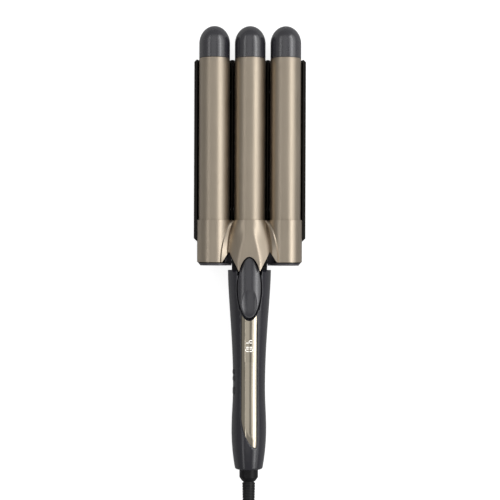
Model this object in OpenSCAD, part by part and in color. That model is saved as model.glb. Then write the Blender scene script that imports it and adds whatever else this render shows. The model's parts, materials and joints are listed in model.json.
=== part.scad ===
// Three-barrel hair waver, lying on its back with the barrels towards +Y.
// Millimetres. Z = 0 is the surface that it lies on, X runs across the barrels.
// The front jaw (barrels, cover, thumb lever) swings up about the hinge pin in the neck.

/* [Barrels] */
// Outside diameter of a barrel
barrel_d = 25; // [23:0.5:28]
// Gap between neighbouring barrels
barrel_gap = 4; // [3.8:0.1:6]
// Wall of a barrel tube
barrel_wall = 1.2; // [0.8:0.1:2]
// Length of barrel that shows between cover and tip
barrel_show = 131.4; // [90:1:180]
// Length of a barrel's tip
tip_len = 26.5; // [20:0.5:36]
// Height of the rounded end of a tip
tip_dome = 14.4; // [10:0.2:16]
// Wall of a tip
tip_wall = 1.8; // [1.2:0.1:3]

/* [Clamp] */
// Gap for the hair between barrel and wave plate
hair_gap = 1.6; // [1:0.1:1.8]
// Thickness of the wave plate
plate_t = 2; // [1.2:0.1:3]
// Thickness of the wave plate's outer edges
plate_edge = 2.4; // [1.6:0.1:4]
// Space between wave plate and back shell
plate_lift = 2.4; // [1.5:0.1:5]
// Wall of the back shell
back_wall = 2; // [1.4:0.1:3]
// Height of the back shell's side walls
back_side_h = 10; // [8:0.5:13]
// Distance from the tip seam back to the wave plate's end
plate_inset = 0.5; // [0.5:0.1:4]
// Distance from the cover's lower edge up to the wave plate
plate_start = 17.4; // [16:0.2:24]

/* [Cover] */
// Length of the front cover
cover_len = 34.2; // [32:0.5:44]
// Wall of the front cover
cover_wall = 1.1; // [0.8:0.1:1.1]
// Length of base shell that shows below the cover
base_show = 2.7; // [2:0.1:5]
// Wall of the base shell
base_wall = 1.8; // [1.4:0.1:2.4]
// Half distance between the creases at the cover's upper edge
crease_top = 15.6; // [15.2:0.1:17]
// Half distance between the creases at the cover's lower edge
crease_low = 23.7; // [22.5:0.1:25]
// Height of the lip beside each crease
lip_h = 1.2; // [0.4:0.1:2]
// Diameter of the round plugs in the cover
mark_d = 5; // [3:0.5:8]

/* [Hinge] */
// Width of the neck between handle and clamp
neck_w = 28.6; // [24:0.2:29]
// Distance between handle and base shell
neck_gap = 3.7; // [3.2:0.1:6]
// Diameter of the hinge pin
pin_d = 4; // [3:0.5:6]
// Wall of the hinge bushes
bush_wall = 1; // [0.8:0.1:1.5]
// Distance from the base shell's lower edge up to the hinge pin
hinge_in = 4.6; // [4.4:0.1:6]
// Width of a hinge ear
ear_w = 5; // [4:0.2:6.5]
// Length of the return spring
spring_len = 13; // [12:0.5:14]
// Outside diameter of the return spring
spring_d = 7; // [5:0.5:8]
// Wire of the return spring
spring_wire = 0.9; // [0.6:0.1:1.2]

/* [Thumb lever] */
// Length of the thumb lever's pad
lever_len = 48.4; // [40:0.4:52]
// Width of the thumb lever's pad
lever_w = 18.6; // [14:0.2:19]
// Thickness of the thumb lever
lever_t = 3.4; // [2.6:0.1:4]
// Height of the lever's free end above its front end
lever_rise = 9.4; // [9:0.2:11]
// Depth of the thumb dimple
dimple_depth = 1; // [0.4:0.1:1.4]
// Gap past the lever's ends in the handle
well_gap = 2; // [1:0.1:3]
// Gap beside the lever in the handle
well_side = 0.7; // [0.5:0.1:2]
// Height of the well's floor above the handle's axis
well_floor = 9.8; // [9:0.1:10]

/* [Handle] */
// Length of the handle
handle_len = 162; // [150:1:200]
// Diameter at the handle's upper end
handle_top_d = 35.2; // [34:0.2:38]
// Diameter at the handle's waist
handle_waist_d = 26.2; // [25:0.2:29]
// Diameter at the swell for the palm
handle_swell_d = 28.4; // [26:0.2:32]
// Diameter at the handle's lower end
handle_end_d = 22.4; // [21.5:0.2:26]
// Distance from the lower end up to the waist
waist_up = 66; // [56:1:76]
// Distance from the lower end up to the swell
swell_up = 32; // [26:1:40]
// Wall of the handle's shells
handle_wall = 2.2; // [1.6:0.1:2.6]
// Length of the end cap
cap_len = 7.7; // [6:0.1:12]
// Gap between handle and table
rest_gap = 0.4; // [0.2:0.1:2]
// Length of the trim strip
strip_len = 103; // [90:1:110]
// Width of the trim strip
strip_w = 12; // [9:0.2:13]
// Thickness of the trim strip
strip_t = 1.3; // [0.8:0.1:1.6]
// How far the trim strip stands out of the handle
strip_proud = 0.3; // [0:0.1:0.6]

/* [Controls] */
// Length of the display window
window_len = 18; // [14:0.5:24]
// Width of the display window
window_w = 7.4; // [5:0.2:8]
// Length of the plus and minus buttons
key_len = 4.4; // [3.6:0.1:5]
// Length of the power button
power_len = 6.6; // [5:0.1:9]
// Width of the buttons round the handle
key_w = 3.6; // [2.6:0.1:4]
// How far the buttons stand out of the handle
key_proud = 0.6; // [0.6:0.1:1.4]
// Travel of the buttons
key_travel = 0.5; // [0.3:0.05:0.6]
// Angle of the buttons above the parting plane
key_angle = 20; // [18:1:30]
// Thickness of the boards
board_t = 1.6; // [1:0.2:2]

/* [Cord] */
// Diameter of the swivel collar
collar_d = 15.2; // [13:0.2:17]
// Length of the swivel collar that shows
collar_len = 10.2; // [8:0.2:14]
// Length of the strain relief
relief_len = 50; // [35:1:60]
// Diameter of the strain relief at the collar
relief_d = 10.6; // [9:0.2:12]
// Diameter of the cord
cord_d = 6.5; // [5.5:0.1:7]
// Length of the plug's body
plug_len = 36; // [28:1:44]
// Width of the plug's body
plug_w = 24; // [21:0.5:28]
// Height of the plug's body
plug_h = 14; // [13:0.5:18]

/* [Hidden] */
fine = 64;
slide_fit = 0.1; // between a part and the recess that holds it
run_fit = 0.05; // round a turning shaft
free_gap = 0.5; // between parts that move past each other
jaw_open = 8; // degrees that the jaw swings open

pitch = barrel_d + barrel_gap;
cut_reach = 2 * (pitch + barrel_d); // past every face that a cutting block leaves open
barrel_r = barrel_d / 2;
cover_in_r = barrel_r + slide_fit;
cover_r = cover_in_r + cover_wall;
trough_r = barrel_r + hair_gap;
barrel_z = back_wall + plate_lift + plate_t + trough_r;
plate_half_w = pitch + trough_r + plate_edge;
handle_z = rest_gap + handle_top_d / 2;

// Stations along the tool, from the strain relief's end to the tips
total_len = relief_len + collar_len + handle_len + neck_gap + base_show
    + cover_len + barrel_show + tip_len;
y_relief = -total_len / 2;
y_collar = y_relief + relief_len;
y_end = y_collar + collar_len;
y_handle = y_end + handle_len;
y_base = y_handle + neck_gap;
y_cover_low = y_base + base_show;
y_cover = y_cover_low + cover_len;
y_seam = y_cover + barrel_show;
y_plate = y_cover_low + plate_start;
y_plate_end = y_seam - plate_inset;
y_hinge = y_base + hinge_in;
y_barrel = y_plate + 8;
y_cap = y_end + cap_len;

// The neck's rounded head turns inside the jaw
head_r = 9.6;
y_bridge = y_hinge + head_r + free_gap + 0.5;
bridge_t = y_plate - free_gap - y_bridge;
base_floor_z = 8;
screw_r = 1.4;
screw_head_r = 2.6;
head_t = 1.6;

// Thumb lever and the well that it sinks into
lever_a = lever_len / 2;
lever_b = lever_w / 2;
arch_gap = 0.5;
arch_inset = 4;
y_lever_front = y_cover_low + arch_inset;
y_lever = y_lever_front - lever_a;
well_wall = 1.8;
well_shift = 0.5;
well_a = lever_a + well_gap - well_shift;
well_b = lever_b + well_side;
throat_half_w = well_b;
throat_len = 4;
y_well = y_lever - well_shift;
lever_front_z = barrel_z + cover_in_r - free_gap;
lever_curve = 1.4;

// Return spring between the lever and a cup in the handle
y_spring = y_lever - 10;
spring_foot_z = lever_under_z(y_spring + spring_d / 2) - spring_len - 0.1;

// Trim strip and controls on the handle
y_strip = y_well - well_a - 0.3;
strip_sweep = 23.5;
strip_bed = strip_t - strip_proud;
y_window = y_strip - 24.6;
y_plus = y_window - 17.7;
y_minus = y_plus - 5.4;
y_power = y_minus - 10;
key_foot_r = 9.6;
key_flange_t = 0.8;
key_flange = 0.5;
switch_gap = 0.05;
switch_top_r = 8.4;
switch_board_r = 5.7;
board_half_w = 8.5;
board_z = handle_z - 5;
board_top = board_z + board_t;
y_board = y_strip - 5;
wire_room = 8; // for the supply wires between the swivel and the board

// Neck
spigot_w = 20;
spigot_len = 18;
spigot_down = 9;
spigot_up = 6.5;
pin_r = pin_d / 2;
bush_r = pin_r + run_fit + bush_wall;
slot_half_w = neck_w / 2 + free_gap;
pin_half = slot_half_w + ear_w - 0.2;
ear_top_z = handle_z + 7;
arm_t = 2.6;
arm_drop = 1.4; // from the lever's front edge down to its arm
bridge_top_z = max(handle_z + head_r + free_gap, lever_front_z - arm_drop - arm_t);
bridge_half_w = 8;
bridge_wall = 1.6;
foot_h = 5.5;

// Swivel, inside the handle's lower end
collar_r = collar_d / 2;
shaft_r = 5;
slip_core_r = 4;
flange_r = 7;
flange_t = 1.8;
swivel_r = 8.6;
swivel_len = 14.4;
cap_wall = 2.2;
y_swivel = y_end + cap_wall + slide_fit;
y_board_low = y_swivel + swivel_len + wire_room;
slip_len = 2.5;
slip_steps = [7, 11];
relief_end_r = 4.2;

// The cord's route: out of the relief, down to the table and into the coil
cord_r = cord_d / 2;
lead_route = [
    [0, -210.4, 18], [0, -218, 18], [0, -226, 17.2], [0, -234, 14.9], [0, -243, 11.2],
    [0, -252, 7.3], [0, -260, 4.8], [0, -268, 3.5], [0, -277, 3.3]
];
tail_route = [
    [-92.75, -270, 9.8], [-92.8, -265, 9.3], [-92.9, -260, 8.2], [-93, -254, 7], [-93, -247, 7]
];
coil_out_r = 48;
coil_turns = 4;
coil_in_r = coil_out_r - coil_turns * cord_d;
coil_x = -coil_out_r;
coil_y = -293;
plug_x = -93;
plug_y = -247;
blade_gap = 12.7; // between the middles of the blades
blade_w = 6.35;
blade_t = 1.5;
blade_len = 16;

// ---- Shapes shared by the pieces ----

function smooth(u) = (1 - cos(180 * min(max(u, 0), 1))) / 2;
function mix(a, b, u) = a + (b - a) * u;

// Radius of the handle at a distance below its upper face
function handle_r(s) =
    let (waist = handle_len - waist_up, swell = handle_len - swell_up)
    s < waist ? mix(handle_top_d, handle_waist_d, smooth(pow(max(s, 0) / waist, 0.8))) / 2
    : s < swell ? mix(handle_waist_d, handle_swell_d, smooth((s - waist) / (swell - waist))) / 2
    : mix(handle_swell_d, handle_end_d, pow((s - swell) / swell_up, 2)) / 2;

// Points of the handle's outline between two distances below its upper face
function handle_line(s0, s1, inset, steps) =
    [for (i = [0:steps]) let (s = mix(s0, s1, i / steps)) [handle_r(s) - inset, s]];

function arc(cx, cy, r, a0, a1, steps) =
    [for (i = [0:steps]) let (a = mix(a0, a1, i / steps)) [cx + r * cos(a), cy + r * sin(a)]];

// Top and underside of the thumb lever along its length
function lever_top_z(y) =
    let (u = (y_lever_front - y) / lever_len)
    lever_front_z + lever_rise * u - lever_curve * 4 * u * (1 - u) * (1 - u);
function lever_thick(u) = lever_t * (1 - 0.6 * smooth(max(u - 0.75, 0) / 0.25));
function lever_under_z(y) = lever_top_z(y) - lever_thick((y_lever_front - y) / lever_len);

function oval(a, b, steps) =
    [for (i = [0:steps - 1]) [b * cos(360 * i / steps), a * sin(360 * i / steps)]];

function reversed(list) = [for (i = [len(list) - 1:-1:0]) list[i]];

// A profile of radius against distance, turned about a line along -Y from y
module turned(y, z, angle = 360) {
    translate([0, y, z]) rotate([90, 0, 0]) rotate_extrude(angle = angle, $fn = fine) children();
}

// A section drawn in X and Z, from one station to another
module along_y(y0, y1) {
    translate([0, y1, 0]) rotate([90, 0, 0]) linear_extrude(y1 - y0) children();
}

module rod_y(r, x, z, y0, y1) {
    translate([x, y1, z]) rotate([90, 0, 0]) cylinder(r = r, h = y1 - y0, $fn = fine);
}

module rod_x(r, y, z, x0, x1) {
    translate([x0, y, z]) rotate([0, 90, 0]) cylinder(r = r, h = x1 - x0, $fn = fine);
}

module block(x0, x1, y0, y1, z0, z1) {
    translate([x0, y0, z0]) cube([x1 - x0, y1 - y0, z1 - z0]);
}

module both_sides() {
    children();
    mirror([1, 0, 0]) children();
}

module each_barrel() {
    for (i = [-1:1]) translate([i * pitch, 0, barrel_z]) children();
}

// A tube of the given radius swept along points, as one closed polyhedron
function unit(v) = v / norm(v);
function heading(p, i) = unit(p[min(i + 1, len(p) - 1)] - p[max(i - 1, 0)]);
function ring(p, i, r, sides) =
    let (t = heading(p, i), side = unit(cross(t, [0, 0, 1])), up = cross(side, t))
    [for (k = [0:sides - 1]) p[i] + r * (cos(360 * k / sides) * side + sin(360 * k / sides) * up)];

module tube(p, r, sides) {
    n = len(p);
    points = [for (i = [0:n - 1]) each ring(p, i, r, sides)];
    faces = [
        [for (k = [0:sides - 1]) k],
        [for (k = [sides - 1:-1:0]) (n - 1) * sides + k],
        for (i = [0:n - 2], k = [0:sides - 1])
            let (a = i * sides + k, b = i * sides + (k + 1) % sides)
            [a, a + sides, b + sides, b]
    ];
    polyhedron(points, faces);
}

// ---- Handle ----

handle_steps = 22;
shell_len = handle_len - cap_len;
post_r = 3;
post_down = 36;
post_up = 22;
head_down = 9.5;
thread_up = 6;
thread_r = 1.2;

// Solid of the handle between two distances below its upper face
module handle_core(s0, s1, inset = 0, angle = 360) {
    turned(y_handle, handle_z, angle)
        polygon(concat([[0, s0]], handle_line(s0, s1, inset, handle_steps), [[0, s1]]));
}

module half_shell() {
    difference() {
        handle_core(0, shell_len, 0, 180);
        handle_core(handle_wall, shell_len + 1, handle_wall);
        spigot_space(slide_fit);
    }
}

module spigot_space(grow) {
    block(-spigot_w / 2 - grow, spigot_w / 2 + grow, y_handle - spigot_len - grow, y_handle + 1,
        handle_z - spigot_down - grow, handle_z + spigot_up + grow);
}

module well_plan(grow) {
    translate([0, y_well]) polygon(oval(well_a + grow, well_b + grow, 48));
}

// Outline of the strip seen from the front, its lower end swept to one side
module strip_plan(grow) {
    half_w = strip_w / 2 + grow;
    y_tip = y_strip - strip_len - grow;
    sweep = [for (i = [0:12]) let (u = i / 12)
        [-half_w + 2 * half_w * u, y_tip + strip_sweep * (1 - pow(1 - pow(1 - u, 2), 0.7))]];
    difference() {
        polygon(concat(sweep, [[half_w, y_strip + 8], [-half_w, y_strip + 8]]));
        well_plan(0.8 - grow);
    }
}

module window_plan(grow) {
    translate([-window_w / 2 - grow, y_window - window_len / 2 - grow])
        square([window_w + 2 * grow, window_len + 2 * grow]);
}

module screw_posts(r, z0, z1) {
    for (y = [y_handle - post_down, y_cap + post_up])
        translate([0, y, z0]) cylinder(r = r, h = z1 - z0, $fn = fine);
}

module handle_front_shell() color("#3b3a40") {
    difference() {
        union() {
            half_shell();
            intersection() {
                handle_core(0, shell_len, 0, 180);
                translate([0, 0, handle_z + well_floor - well_wall])
                    linear_extrude(20) well_plan(well_wall);
            }
            intersection() {
                screw_posts(post_r, handle_z + 0.1, handle_z + 20);
                handle_core(1, shell_len, strip_t);
            }
        }
        translate([0, 0, handle_z + well_floor]) linear_extrude(20) well_plan(0);
        block(-throat_half_w, throat_half_w, y_handle - throat_len, y_handle + 1,
            handle_z + well_floor, handle_z + 30);
        spring_pocket(spring_d / 2 + slide_fit, 4);
        intersection() {
            translate([0, 0, handle_z]) linear_extrude(20) strip_plan(slide_fit);
            difference() {
                handle_core(20, shell_len, -1);
                handle_core(19, shell_len + 1, strip_bed);
            }
        }
        translate([0, 0, handle_z + 5]) linear_extrude(20) window_plan(-0.4);
        screw_posts(thread_r, handle_z - 1, handle_z + thread_up + 1);
        key_space(y_plus, key_len);
        key_space(y_minus, key_len);
        key_space(y_power, power_len);
        block(-30, 30, y_end, y_handle, handle_z - 30, handle_z);
    }
    spring_cup();
}

module spring_pocket(r, extra) {
    translate([0, y_spring, spring_foot_z]) cylinder(r = r, h = spring_len + extra, $fn = fine);
}

// Closed cup under the well's floor that holds the return spring
module spring_cup() {
    difference() {
        translate([0, y_spring, spring_foot_z - 1.2])
            cylinder(r = spring_d / 2 + 1.4, h = handle_z + well_floor - spring_foot_z, $fn = fine);
        spring_pocket(spring_d / 2 + slide_fit, 4);
    }
}

module handle_rear_shell() color("#3b3a40") {
    difference() {
        union() {
            mirror([0, 0, 1]) translate([0, 0, -2 * handle_z]) half_shell_rear();
            intersection() {
                screw_posts(post_r, 0, handle_z - 0.1);
                handle_core(1, shell_len, 0.5);
            }
        }
        screw_posts(screw_r + slide_fit, -1, handle_z + 1);
        screw_posts(screw_head_r + slide_fit, -1, handle_z - head_down);
    }
}

module half_shell_rear() {
    difference() {
        handle_core(0, shell_len, 0, 180);
        handle_core(handle_wall, shell_len + 1, handle_wall);
        block(-spigot_w / 2 - slide_fit, spigot_w / 2 + slide_fit, y_handle - spigot_len, y_handle + 1,
            handle_z - 1, handle_z + spigot_down + slide_fit);
    }
}

module handle_end_cap() color("#3b3a40") {
    difference() {
        turned(y_handle, handle_z) polygon(concat(
            [[0, shell_len]],
            handle_line(shell_len, handle_len - 0.9, 0, 6),
            arc(handle_r(handle_len) - 0.8, handle_len - 0.9, 0.8, 15, 90, 4),
            [[0, handle_len - 0.1]]));
        rod_y(swivel_r + slide_fit, 0, handle_z, y_end + cap_wall, y_cap + 1);
        rod_y(shaft_r + run_fit, 0, handle_z, y_end - 1, y_cap);
    }
}

module handle_screws() color("silver") {
    screw_posts(screw_head_r, handle_z - head_down - head_t, handle_z - head_down);
    screw_posts(thread_r, handle_z - head_down, handle_z + thread_up);
}

module trim_strip() color("#b8ab8e") {
    difference() {
        intersection() {
            translate([0, 0, handle_z]) linear_extrude(20) strip_plan(0);
            handle_core(20, shell_len, -strip_proud);
        }
        handle_core(19, shell_len + 1, strip_bed);
        translate([0, 0, handle_z]) linear_extrude(20) window_plan(slide_fit);
    }
}

module display_window() color("#8d836c") {
    intersection() {
        translate([0, 0, handle_z]) linear_extrude(20) window_plan(0);
        difference() {
            handle_core(20, shell_len, -strip_proud);
            handle_core(19, shell_len + 1, strip_bed);
        }
    }
}

display_z = handle_z + 6.6;
display_t = 3.4;
display_half_w = 3.6;
display_half_l = 8.5;
leg_r = 0.6;

// The lit display on its own small board, four legs above the control board
module display_module() color("#20242a") {
    block(-display_half_w, display_half_w, y_window - display_half_l, y_window + display_half_l,
        display_z, display_z + display_t);
    block(-display_half_w - 2.4, display_half_w + 2.4, y_window - display_half_l - 2.5,
        y_window + display_half_l + 2.5, display_z - board_t, display_z);
    for (x = [-4, 4], y = [-1, 1]) translate([x, y_window + y * (display_half_l + 1), board_top])
        cylinder(r = leg_r, h = display_z - board_t - board_top, $fn = 24);
}

module control_board() color("#1f5c34") {
    difference() {
        block(-board_half_w, board_half_w, y_board_low, y_board, board_z, board_top);
        screw_posts(post_r + 3 * slide_fit, board_z - 1, board_top + 1);
    }
}

part_h = 7;
relay_w = 10;
relay_l = 7;
chip_w = 6;
chip_h = 1.2;
driver_w = 5.6;
driver_l = 4;
cap_r = 3;

// Relay, processor, power transistor and storage capacitor on the control board
module board_parts() color("#26282c") {
    block(-relay_w / 2, relay_w / 2, y_board - 1 - relay_l, y_board - 1, board_top, board_top + part_h);
    block(-chip_w / 2, chip_w / 2, y_window - chip_w / 2, y_window + chip_w / 2,
        board_top, board_top + chip_h);
    block(2, 2 + driver_w, y_power - 4 - driver_l, y_power - 4, board_top, board_top + part_h);
    translate([4, y_plus, board_top]) cylinder(r = cap_r, h = part_h, $fn = fine);
}

// ---- Buttons, drawn along +Z of a frame that points out of the flank ----

module key_frame(y) {
    translate([0, y, handle_z]) rotate([0, key_angle - 90, 0]) children();
}

// A slot outline with round ends
module key_plan(len_y, grow) {
    r = key_w / 2 + grow;
    reach = len_y / 2 - key_w / 2;
    for (s = [-1, 1]) translate([0, s * reach]) circle(r = r, $fn = 32);
    if (reach > 0) translate([-r, -reach]) square([2 * r, 2 * reach]);
}

module key_space(y, len_y) {
    key_frame(y) translate([0, 0, key_foot_r]) linear_extrude(10) key_plan(len_y, slide_fit);
}

module key(y, len_y) {
    top = handle_r(y_handle - y) + key_proud;
    key_frame(y) {
        translate([0, 0, key_foot_r]) linear_extrude(top - key_foot_r) key_plan(len_y, 0);
        translate([0, 0, key_foot_r]) linear_extrude(key_flange_t) key_plan(len_y, key_flange);
    }
}

module power_button() color("#2c2b30") key(y_power, power_len);
module plus_button() color("#2c2b30") key(y_plus, key_len);
module minus_button() color("#2c2b30") key(y_minus, key_len);

key_rows = [y_plus, y_minus, y_power];

module button_board() color("#1f5c34") {
    key_frame(0) block(-3, 3, y_power - 6, y_plus + 6, switch_board_r, switch_board_r + 1.2);
}

module button_switches() color("silver") {
    for (y = key_rows) key_frame(y) {
        block(-1.8, 1.8, -2.4, 2.4, switch_board_r + 1.2, switch_top_r);
        translate([0, 0, switch_top_r])
            cylinder(r = 1, h = key_foot_r - key_travel - switch_gap - switch_top_r, $fn = 24);
    }
}

// ---- Neck and hinge ----

module hinge_block() color("#1d1c20") {
    difference() {
        union() {
            intersection() {
                rod_x(head_r, y_hinge, handle_z, -neck_w / 2, neck_w / 2);
                block(-neck_w / 2, neck_w / 2, y_handle, y_hinge + head_r, 0, 60);
            }
            block(-neck_w / 2, neck_w / 2, y_handle, y_hinge + 2, back_wall, handle_z + 8);
            block(-neck_w / 2, neck_w / 2, y_hinge + 2, y_hinge + head_r, back_wall, 6);
            block(-spigot_w / 2, spigot_w / 2, y_handle - spigot_len, y_handle,
                handle_z - spigot_down, handle_z + spigot_up);
        }
        rod_x(pin_r, y_hinge, handle_z, -neck_w, neck_w);
        rod_y(4, 0, handle_z - 1, y_handle - spigot_len - 1, y_handle - 2);
        foot_screws_at(screw_r, 0, 9);
    }
}

module foot_screws_at(r, z0, z1) {
    for (x = [-9, 9]) translate([x, y_handle + 8, z0]) cylinder(r = r, h = z1 - z0, $fn = fine);
}

module hinge_pin() color("silver") {
    rod_x(pin_r, y_hinge, handle_z, -pin_half, pin_half);
}

module hinge_bushes() color("#b98b45") {
    both_sides() difference() {
        rod_x(bush_r, y_hinge, handle_z, slot_half_w, slot_half_w + ear_w);
        rod_x(pin_r + run_fit, y_hinge, handle_z, 0, neck_w);
    }
}

// Helix of the return spring, standing in the cup under the lever
module return_spring() color("silver") {
    turns = 5;
    steps = 10;
    coil_r = (spring_d - spring_wire) / 2;
    path = [for (i = [0:turns * steps]) let (a = 360 * i / steps)
        [coil_r * cos(a), y_spring + coil_r * sin(a),
            spring_foot_z + mix(spring_wire / 2, spring_len - spring_wire / 2, i / (turns * steps))]];
    tube(path, spring_wire / 2, 6);
}

// ---- Rear clamp ----

ridge_down = 4; // from the barrels' middles down to the ridges' tops
edge_h = 12; // of the wave plate's upright edges
plate_chamfer = 1.4;

// Section of the wave plate: three troughs, two low ridges, two upright edges
module plate_section() {
    ridge_z = barrel_z - ridge_down;
    ridge_r = pitch / 2 - sqrt(pow(trough_r, 2) - pow(ridge_down, 2));
    wing_z = barrel_z - 1;
    difference() {
        union() {
            for (i = [-1:1]) translate([i * pitch, barrel_z]) circle(r = trough_r + plate_t, $fn = fine);
            for (s = [-1, 1]) translate([s * (plate_half_w - plate_edge / 2), ridge_z])
                square([plate_edge, edge_h], center = true);
        }
        for (i = [-1:1]) translate([i * pitch, barrel_z]) circle(r = trough_r, $fn = fine);
        translate([-pitch - 2, ridge_z]) square([2 * pitch + 4, 40]);
        translate([-2 * pitch, wing_z]) square([4 * pitch, 40]);
    }
    for (s = [-1, 1]) translate([s * pitch / 2, ridge_z]) circle(r = ridge_r, $fn = 32);
}

clamp_screw_rows = [y_plate + 26, y_plate_end - 26];
module clamp_screws_at(r, z0, z1) {
    for (x = [-pitch / 2, pitch / 2], y = clamp_screw_rows)
        translate([x, y, z0]) cylinder(r = r, h = z1 - z0, $fn = fine);
}

ridge_under_z = barrel_z - sqrt(pow(trough_r + plate_t, 2) - pow(pitch / 2, 2));

module clamp_plate() color("#241c14") {
    difference() {
        along_y(y_plate, y_plate_end) plate_section();
        clamp_screws_at(screw_r, 0, ridge_under_z + 2);
        for (s = [-1, 1], y = [y_plate, y_plate_end])
            translate([s * plate_half_w, y, 0]) rotate([0, 0, 45])
                translate([-plate_chamfer, -plate_chamfer, 0])
                    cube([2 * plate_chamfer, 2 * plate_chamfer, 2 * barrel_z]);
    }
}

// Outline of the back shell's foot, narrowing from the tray to the neck
module foot_plan(inset) {
    wide = plate_half_w - 2.6 - inset;
    narrow = neck_w / 2 - inset;
    side = [
        [narrow, y_handle + 0.6 + inset], [narrow, y_base + 1], [narrow + 7, y_base + 5.5],
        [wide - 6, y_plate - 7.5], [wide - 1.5, y_plate - 4.5], [wide, y_plate]
    ];
    polygon(concat(side, [for (p = reversed(side)) [-p[0], p[1]]]));
}

// Section of the tray behind the wave plate
module tray_section(inset) {
    half_w = plate_half_w - 2 - inset;
    corner = 5 - inset;
    polygon(concat(
        arc(half_w - corner, inset + corner, corner, -90, 0, 6),
        [[half_w, 30], [-half_w, 30]],
        arc(-half_w + corner, inset + corner, corner, 180, 270, 6)));
}

module clamp_rear_shell() color("#1d1c20") {
    difference() {
        union() {
            intersection() {
                along_y(y_plate - 0.6, y_plate_end) tray_section(0);
                block(-60, 60, y_base, y_seam, 0, back_side_h);
            }
            linear_extrude(foot_h) foot_plan(0);
        }
        along_y(y_plate + 1.6, y_plate_end - back_wall) tray_section(back_wall);
        translate([0, 0, back_wall]) linear_extrude(20) foot_plan(back_wall);
        block(-neck_w / 2, neck_w / 2, y_handle, y_hinge + head_r + slide_fit, back_wall, 30);
        each_barrel() rod_y(trough_r + plate_t + 0.05, 0, 0, y_plate - 2, y_seam);
        clamp_screws_at(screw_r + slide_fit, -1, 20);
        clamp_screws_at(screw_head_r + slide_fit, -1, 1.2);
        foot_screws_at(screw_r + slide_fit, -1, 20);
        foot_screws_at(screw_head_r + slide_fit, -1, 1.2);
    }
    difference() {
        clamp_screws_at(3.4, back_wall - 0.2, ridge_under_z - 0.6);
        clamp_screws_at(screw_r + slide_fit, 0, 20);
        each_barrel() rod_y(trough_r + plate_t + 0.05, 0, 0, y_plate, y_seam);
    }
}

module clamp_screws() color("silver") {
    clamp_screws_at(screw_head_r, 0.3, 1.2);
    clamp_screws_at(screw_r, 1.2, ridge_under_z + 1.8);
    foot_screws_at(screw_head_r, 0.3, 1.2);
    foot_screws_at(screw_r, 1.2, 8.8);
}

// ---- Barrels and what they hold ----

module barrel(i) color("#a89c88") {
    difference() {
        rod_y(barrel_r, i * pitch, barrel_z, y_barrel, y_seam);
        rod_y(barrel_r - barrel_wall, i * pitch, barrel_z, y_barrel - 1, y_seam + 1);
    }
}

module barrel_left() barrel(-1);
module barrel_middle() barrel(0);
module barrel_right() barrel(1);

tip_plug = 8;
module tip(i) color("#6b696f") {
    side = tip_len - tip_dome;
    inner_r = barrel_r - tip_wall;
    plug_r = barrel_r - barrel_wall - slide_fit;
    dome = [for (k = [0:12]) let (a = 90 * k / 12) [barrel_r * cos(a), side + tip_dome * sin(a)]];
    hollow = [for (k = [12:-1:0]) let (a = 90 * k / 12)
        [inner_r * cos(a), side + (tip_dome - tip_wall) * sin(a)]];
    translate([i * pitch, y_seam, barrel_z]) rotate([-90, 0, 0]) rotate_extrude($fn = fine)
        polygon(concat([[barrel_r, 0]], dome, hollow,
            [[plug_r - 1.4, 1.5], [plug_r - 1.4, -tip_plug], [plug_r, -tip_plug], [plug_r, 0]]));
}

module tip_left() tip(-1);
module tip_middle() tip(0);
module tip_right() tip(1);

sleeve_len = 12; // of the frame's spigots inside the barrels
sleeve_gap = 10.2; // from a spigot up to the heat spreaders
spreader_over = 4; // how far the spreaders reach past the heater
tip_room = 14; // between the heater and the tip's plug
y_heater = y_barrel + sleeve_len + sleeve_gap + spreader_over;
heater_l = y_seam - tip_plug - tip_room - y_heater;
heater_t = 4;
wire_r = 0.8;
wire_x = 2.5;

// A flat ceramic heater in the middle of each barrel
module heater_bars() color("#d8d2c4") each_barrel()
    block(-5, 5, y_heater, y_heater + heater_l, -heater_t / 2, heater_t / 2);

// Two aluminium half rounds press each heater's warmth into its barrel
module heat_spreaders() color("#c9ccd0") {
    difference() {
        each_barrel() difference() {
            rod_y(barrel_r - barrel_wall - slide_fit, 0, 0, y_heater - spreader_over,
                y_heater + heater_l + spreader_over);
            block(-barrel_d, barrel_d, y_heater - 5, y_heater + heater_l + 5,
                -heater_t / 2 - 0.05, heater_t / 2 + 0.05);
        }
        rod_y(1.3, 0, barrel_z + 6, y_heater - 5, y_heater + 14);
    }
}

module thermistor() color("#2a6f8f") {
    rod_y(1.2, 0, barrel_z + 6, y_heater - 3, y_heater + 12);
}

module thermal_fuse() color("silver") {
    rod_y(2, pitch, barrel_z + 5, y_heater - 20, y_heater - 8);
    rod_y(0.5, pitch, barrel_z + 5, y_heater - 26, y_heater - 20);
    rod_y(0.5, pitch, barrel_z + 5, y_heater - 8, y_heater - 4.2);
}

module heater_wires() color("#c43d2f") {
    for (i = [-1:1], x = [-wire_x, wire_x])
        rod_y(wire_r, i * pitch + x, barrel_z, y_bridge + bridge_wall + 2.4, y_heater - slide_fit);
}

frame_t = bridge_t - bridge_wall;

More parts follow.
